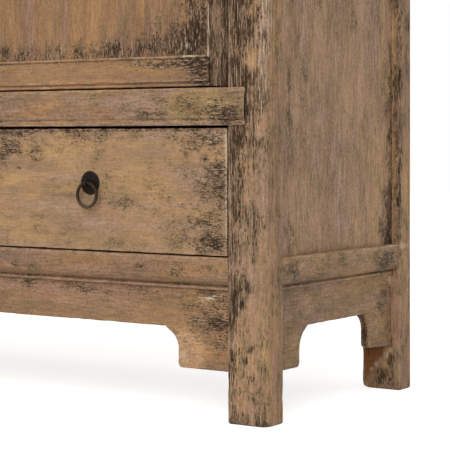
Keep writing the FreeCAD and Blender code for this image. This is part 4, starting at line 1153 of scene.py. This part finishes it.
def stile(outer, inner, outward, radius, sign, seed):
    # two lengths of one timber: its body runs past the rails, its inner moulding is mitred between them
    crest, slopeEnd, beadTop, beadEdge, rear = innerMoulding(inner, outward)
    back, bandAt = doors["thickness"], inner + outward * band
    body = [(outer, back, radius), (outer, 0.0, radius), crest, (bandAt, bandDrop), (bandAt, back)]
    strip = [(bandAt, back), (bandAt, bandDrop), slopeEnd, beadTop, beadEdge, rear]
    body, strip = (
        mirrored([(c[0], frontFace + c[1]) + tuple(c[2:]) for c in section], sign) for section in (body, strip)
    )
    ends = trimmedEnds(
        railTop - band, topRailLow + band, lambda a, u: np.clip(np.abs(np.abs(a) - bandAt), 0, band)
    )
    return [
        timber("plan", body, doors["low"], doors["high"], seed=seed),
        timber("plan", strip, *ends, start=((0, 0),), finish=((0, 0),), seed=seed),
    ]


def doorRail(edge, inner, inward, sign, seed):
    # an edge bead and its groove, a flat face, then the same inner moulding as the stiles
    radius = doors["edgeBead"]
    beadEnd = edge + inward * 2 * radius
    grooveEnd = beadEnd + inward * doors["edgeGroove"]
    beadFace = doors["edgeBeadDrop"]
    grooveFace = beadFace + doors["edgeGroove"]
    section = [
        (doors["thickness"], edge), (beadFace, edge, radius), (beadFace, beadEnd, radius),
        (grooveFace, beadEnd), (grooveFace, grooveEnd), (0.0, grooveEnd, radius),
    ]
    section += [(drop, at, bend) for at, drop, bend in innerMoulding(inner, -inward)]
    section = [(frontFace + c[0],) + tuple(c[1:]) for c in section]
    mitreFrom = inner - inward * band
    reach = sorted((sign * meetingBand, sign * hingeBand))
    ends = trimmedEnds(*reach, lambda a, u: np.clip((u - mitreFrom) * inward, 0, band))
    return timber("side", section, *ends, start=((0, 0.3), (0.5, 0)), finish=((0, 0.3), (0.5, 0)), seed=seed)


turns = np.linspace(0, 2 * math.pi, doors["pinTurns"], endpoint=False)
tongue, radius = doors["panelTongue"], doors["pinRadius"]
for side, sign in sides:
    body = "door_" + side
    made = stile(doors["to"], hingeEdge, 1, doors["hingeRadius"], sign, 91 + sign)
    wornPiece(body + "_hinge_stile", made, stilePaint, body)
    made = stile(doors["from"], meetingEdge, -1, doors["meetingRadius"], sign, 95 + sign)
    wornPiece(body + "_meeting_stile", made, stilePaint, body)
    made = doorRail(doors["low"], railTop, 1, sign, 101 + sign)
    wornPiece(body + "_bottom_rail", [made], doorRailPaint, body)
    made = doorRail(doors["high"], topRailLow, -1, sign, 105 + sign)
    wornPiece(body + "_top_rail", [made], doorRailPaint, body)
    faceY = frontFace + doors["panelDrop"]
    backY = faceY + doors["panelThickness"]
    left, right = sorted((sign * (meetingEdge - tongue), sign * (hingeEdge + tongue)))
    board = [(left, faceY), (right, faceY), (right, backY), (left, backY)]
    low, high = railTop - tongue, topRailLow + tongue
    made = timber("plan", board, low, high, wear=doors["panelWear"], seed=107 + sign, step=boardStep)
    wornPiece(body + "_panel", [made], panelPaint, body)
    pinX, pinY = sign * (doors["to"] - doors["pinInset"]), frontFace + doors["pinInset"]
    pin = [(pinX + radius * math.cos(t), pinY + radius * math.sin(t)) for t in turns]
    made = [timber("plan", pin, *span, wear=0.0) for span in doors["pinSpans"]]
    makePiece("turned_" + body + "_pins", made, body, bareWood)
print("doors made")

# The inside and the back keep their CAD shape.
bareNodes = ("cabinet_floor", "shelf", "bearers", "runners", "battens", "_sides", "_back", "_bottom")
replaced = {name for o in bpy.data.objects for name in o.get("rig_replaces", [])}
for name, node in frame["nodes"].items():
    if name in replaced:
        continue
    bare = name.endswith(bareNodes)
    node.data.materials.clear()
    node.data.materials.append(bareWood if bare else panelPaint if name == "back_panels" else railPaint)
print("inside and back finished")

studio = {
    "cameraAt": (1.87732, -2.23735, 0.430),
    "cameraTurn": 33.7,          # degrees to the left of straight at the back
    "sensor": 36.0,
    "lens": 126.64,
    "shiftY": -0.1882,
    "farthest": 50.0,
    "fill": 0.55,
    "keyStrength": 1.95,
    "keyFrom": (0.15, -1.0, 0.75),
    "keySpread": 60.0,
    "paper": "#e8e8e6",
    "paperGlow": 0.7,
    "paperReach": 9.0,
}
white = (1, 1, 1, 1)


def seenShare(tree):
    # 1 for what the camera sees, straight or in metal and glass, and 0 for light that falls on the cabinet
    rays = addNode(tree, "LightPath")
    seen = rays["Is Camera Ray"]
    for kind in ("Is Glossy Ray", "Is Transmission Ray"):
        seen = addNode(tree, "Math", {0: seen, 1: rays[kind]}, operation="MAXIMUM")[0]
    return seen


world = bpy.data.worlds.new("paleStudio")
bpy.context.scene.world = world
tree = emptyTree(world)
strength = addNode(tree, "MapRange", {"Value": seenShare(tree), "To Min": studio["fill"]})[0]
sky = addNode(tree, "Background", {"Color": white, "Strength": strength})
addNode(tree, "OutputWorld", {"Surface": sky[0]})

# paper that glows only where it is seen, so that it comes out white, keeps the soft shadow and lights nothing
floorMaterial = bpy.data.materials.new("matteWhitePaper")
tree = emptyTree(floorMaterial)
paper = addNode(tree, "BsdfDiffuse", {"Color": linear(studio["paper"])})[0]
glow = addNode(tree, "Emission", {"Color": white, "Strength": studio["paperGlow"]})[0]
both = addNode(tree, "AddShader", {0: paper, 1: glow})[0]
mixed = addNode(tree, "MixShader", {0: seenShare(tree), 1: paper, 2: both})
addNode(tree, "OutputMaterial", {"Surface": mixed[0]})

far = studio["paperReach"]
floorMesh = bpy.data.meshes.new("floor")
floorMesh.from_pydata([(-far, -far, 0), (far, -far, 0), (far, far, 0), (-far, far, 0)], [], [(0, 1, 2, 3)])
floorMesh.materials.append(floorMaterial)
addObject("floor", floorMesh)

sun = bpy.data.lights.new("key", "SUN")
sun.energy = studio["keyStrength"]
sun.angle = math.radians(studio["keySpread"])
addObject("key", sun).rotation_euler = Vector(studio["keyFrom"]).to_track_quat("Z", "Y").to_euler()

lens = bpy.data.cameras.new("camera")
lens.sensor_width = studio["sensor"]
lens.lens = studio["lens"]
lens.shift_y = studio["shiftY"]
lens.clip_end = studio["farthest"]
camera = addObject("camera", lens)
camera.location = studio["cameraAt"]
camera.rotation_euler = (math.radians(90), 0, math.radians(studio["cameraTurn"]))
bpy.context.scene.camera = camera
bpy.context.scene.view_settings.view_transform = "Standard"
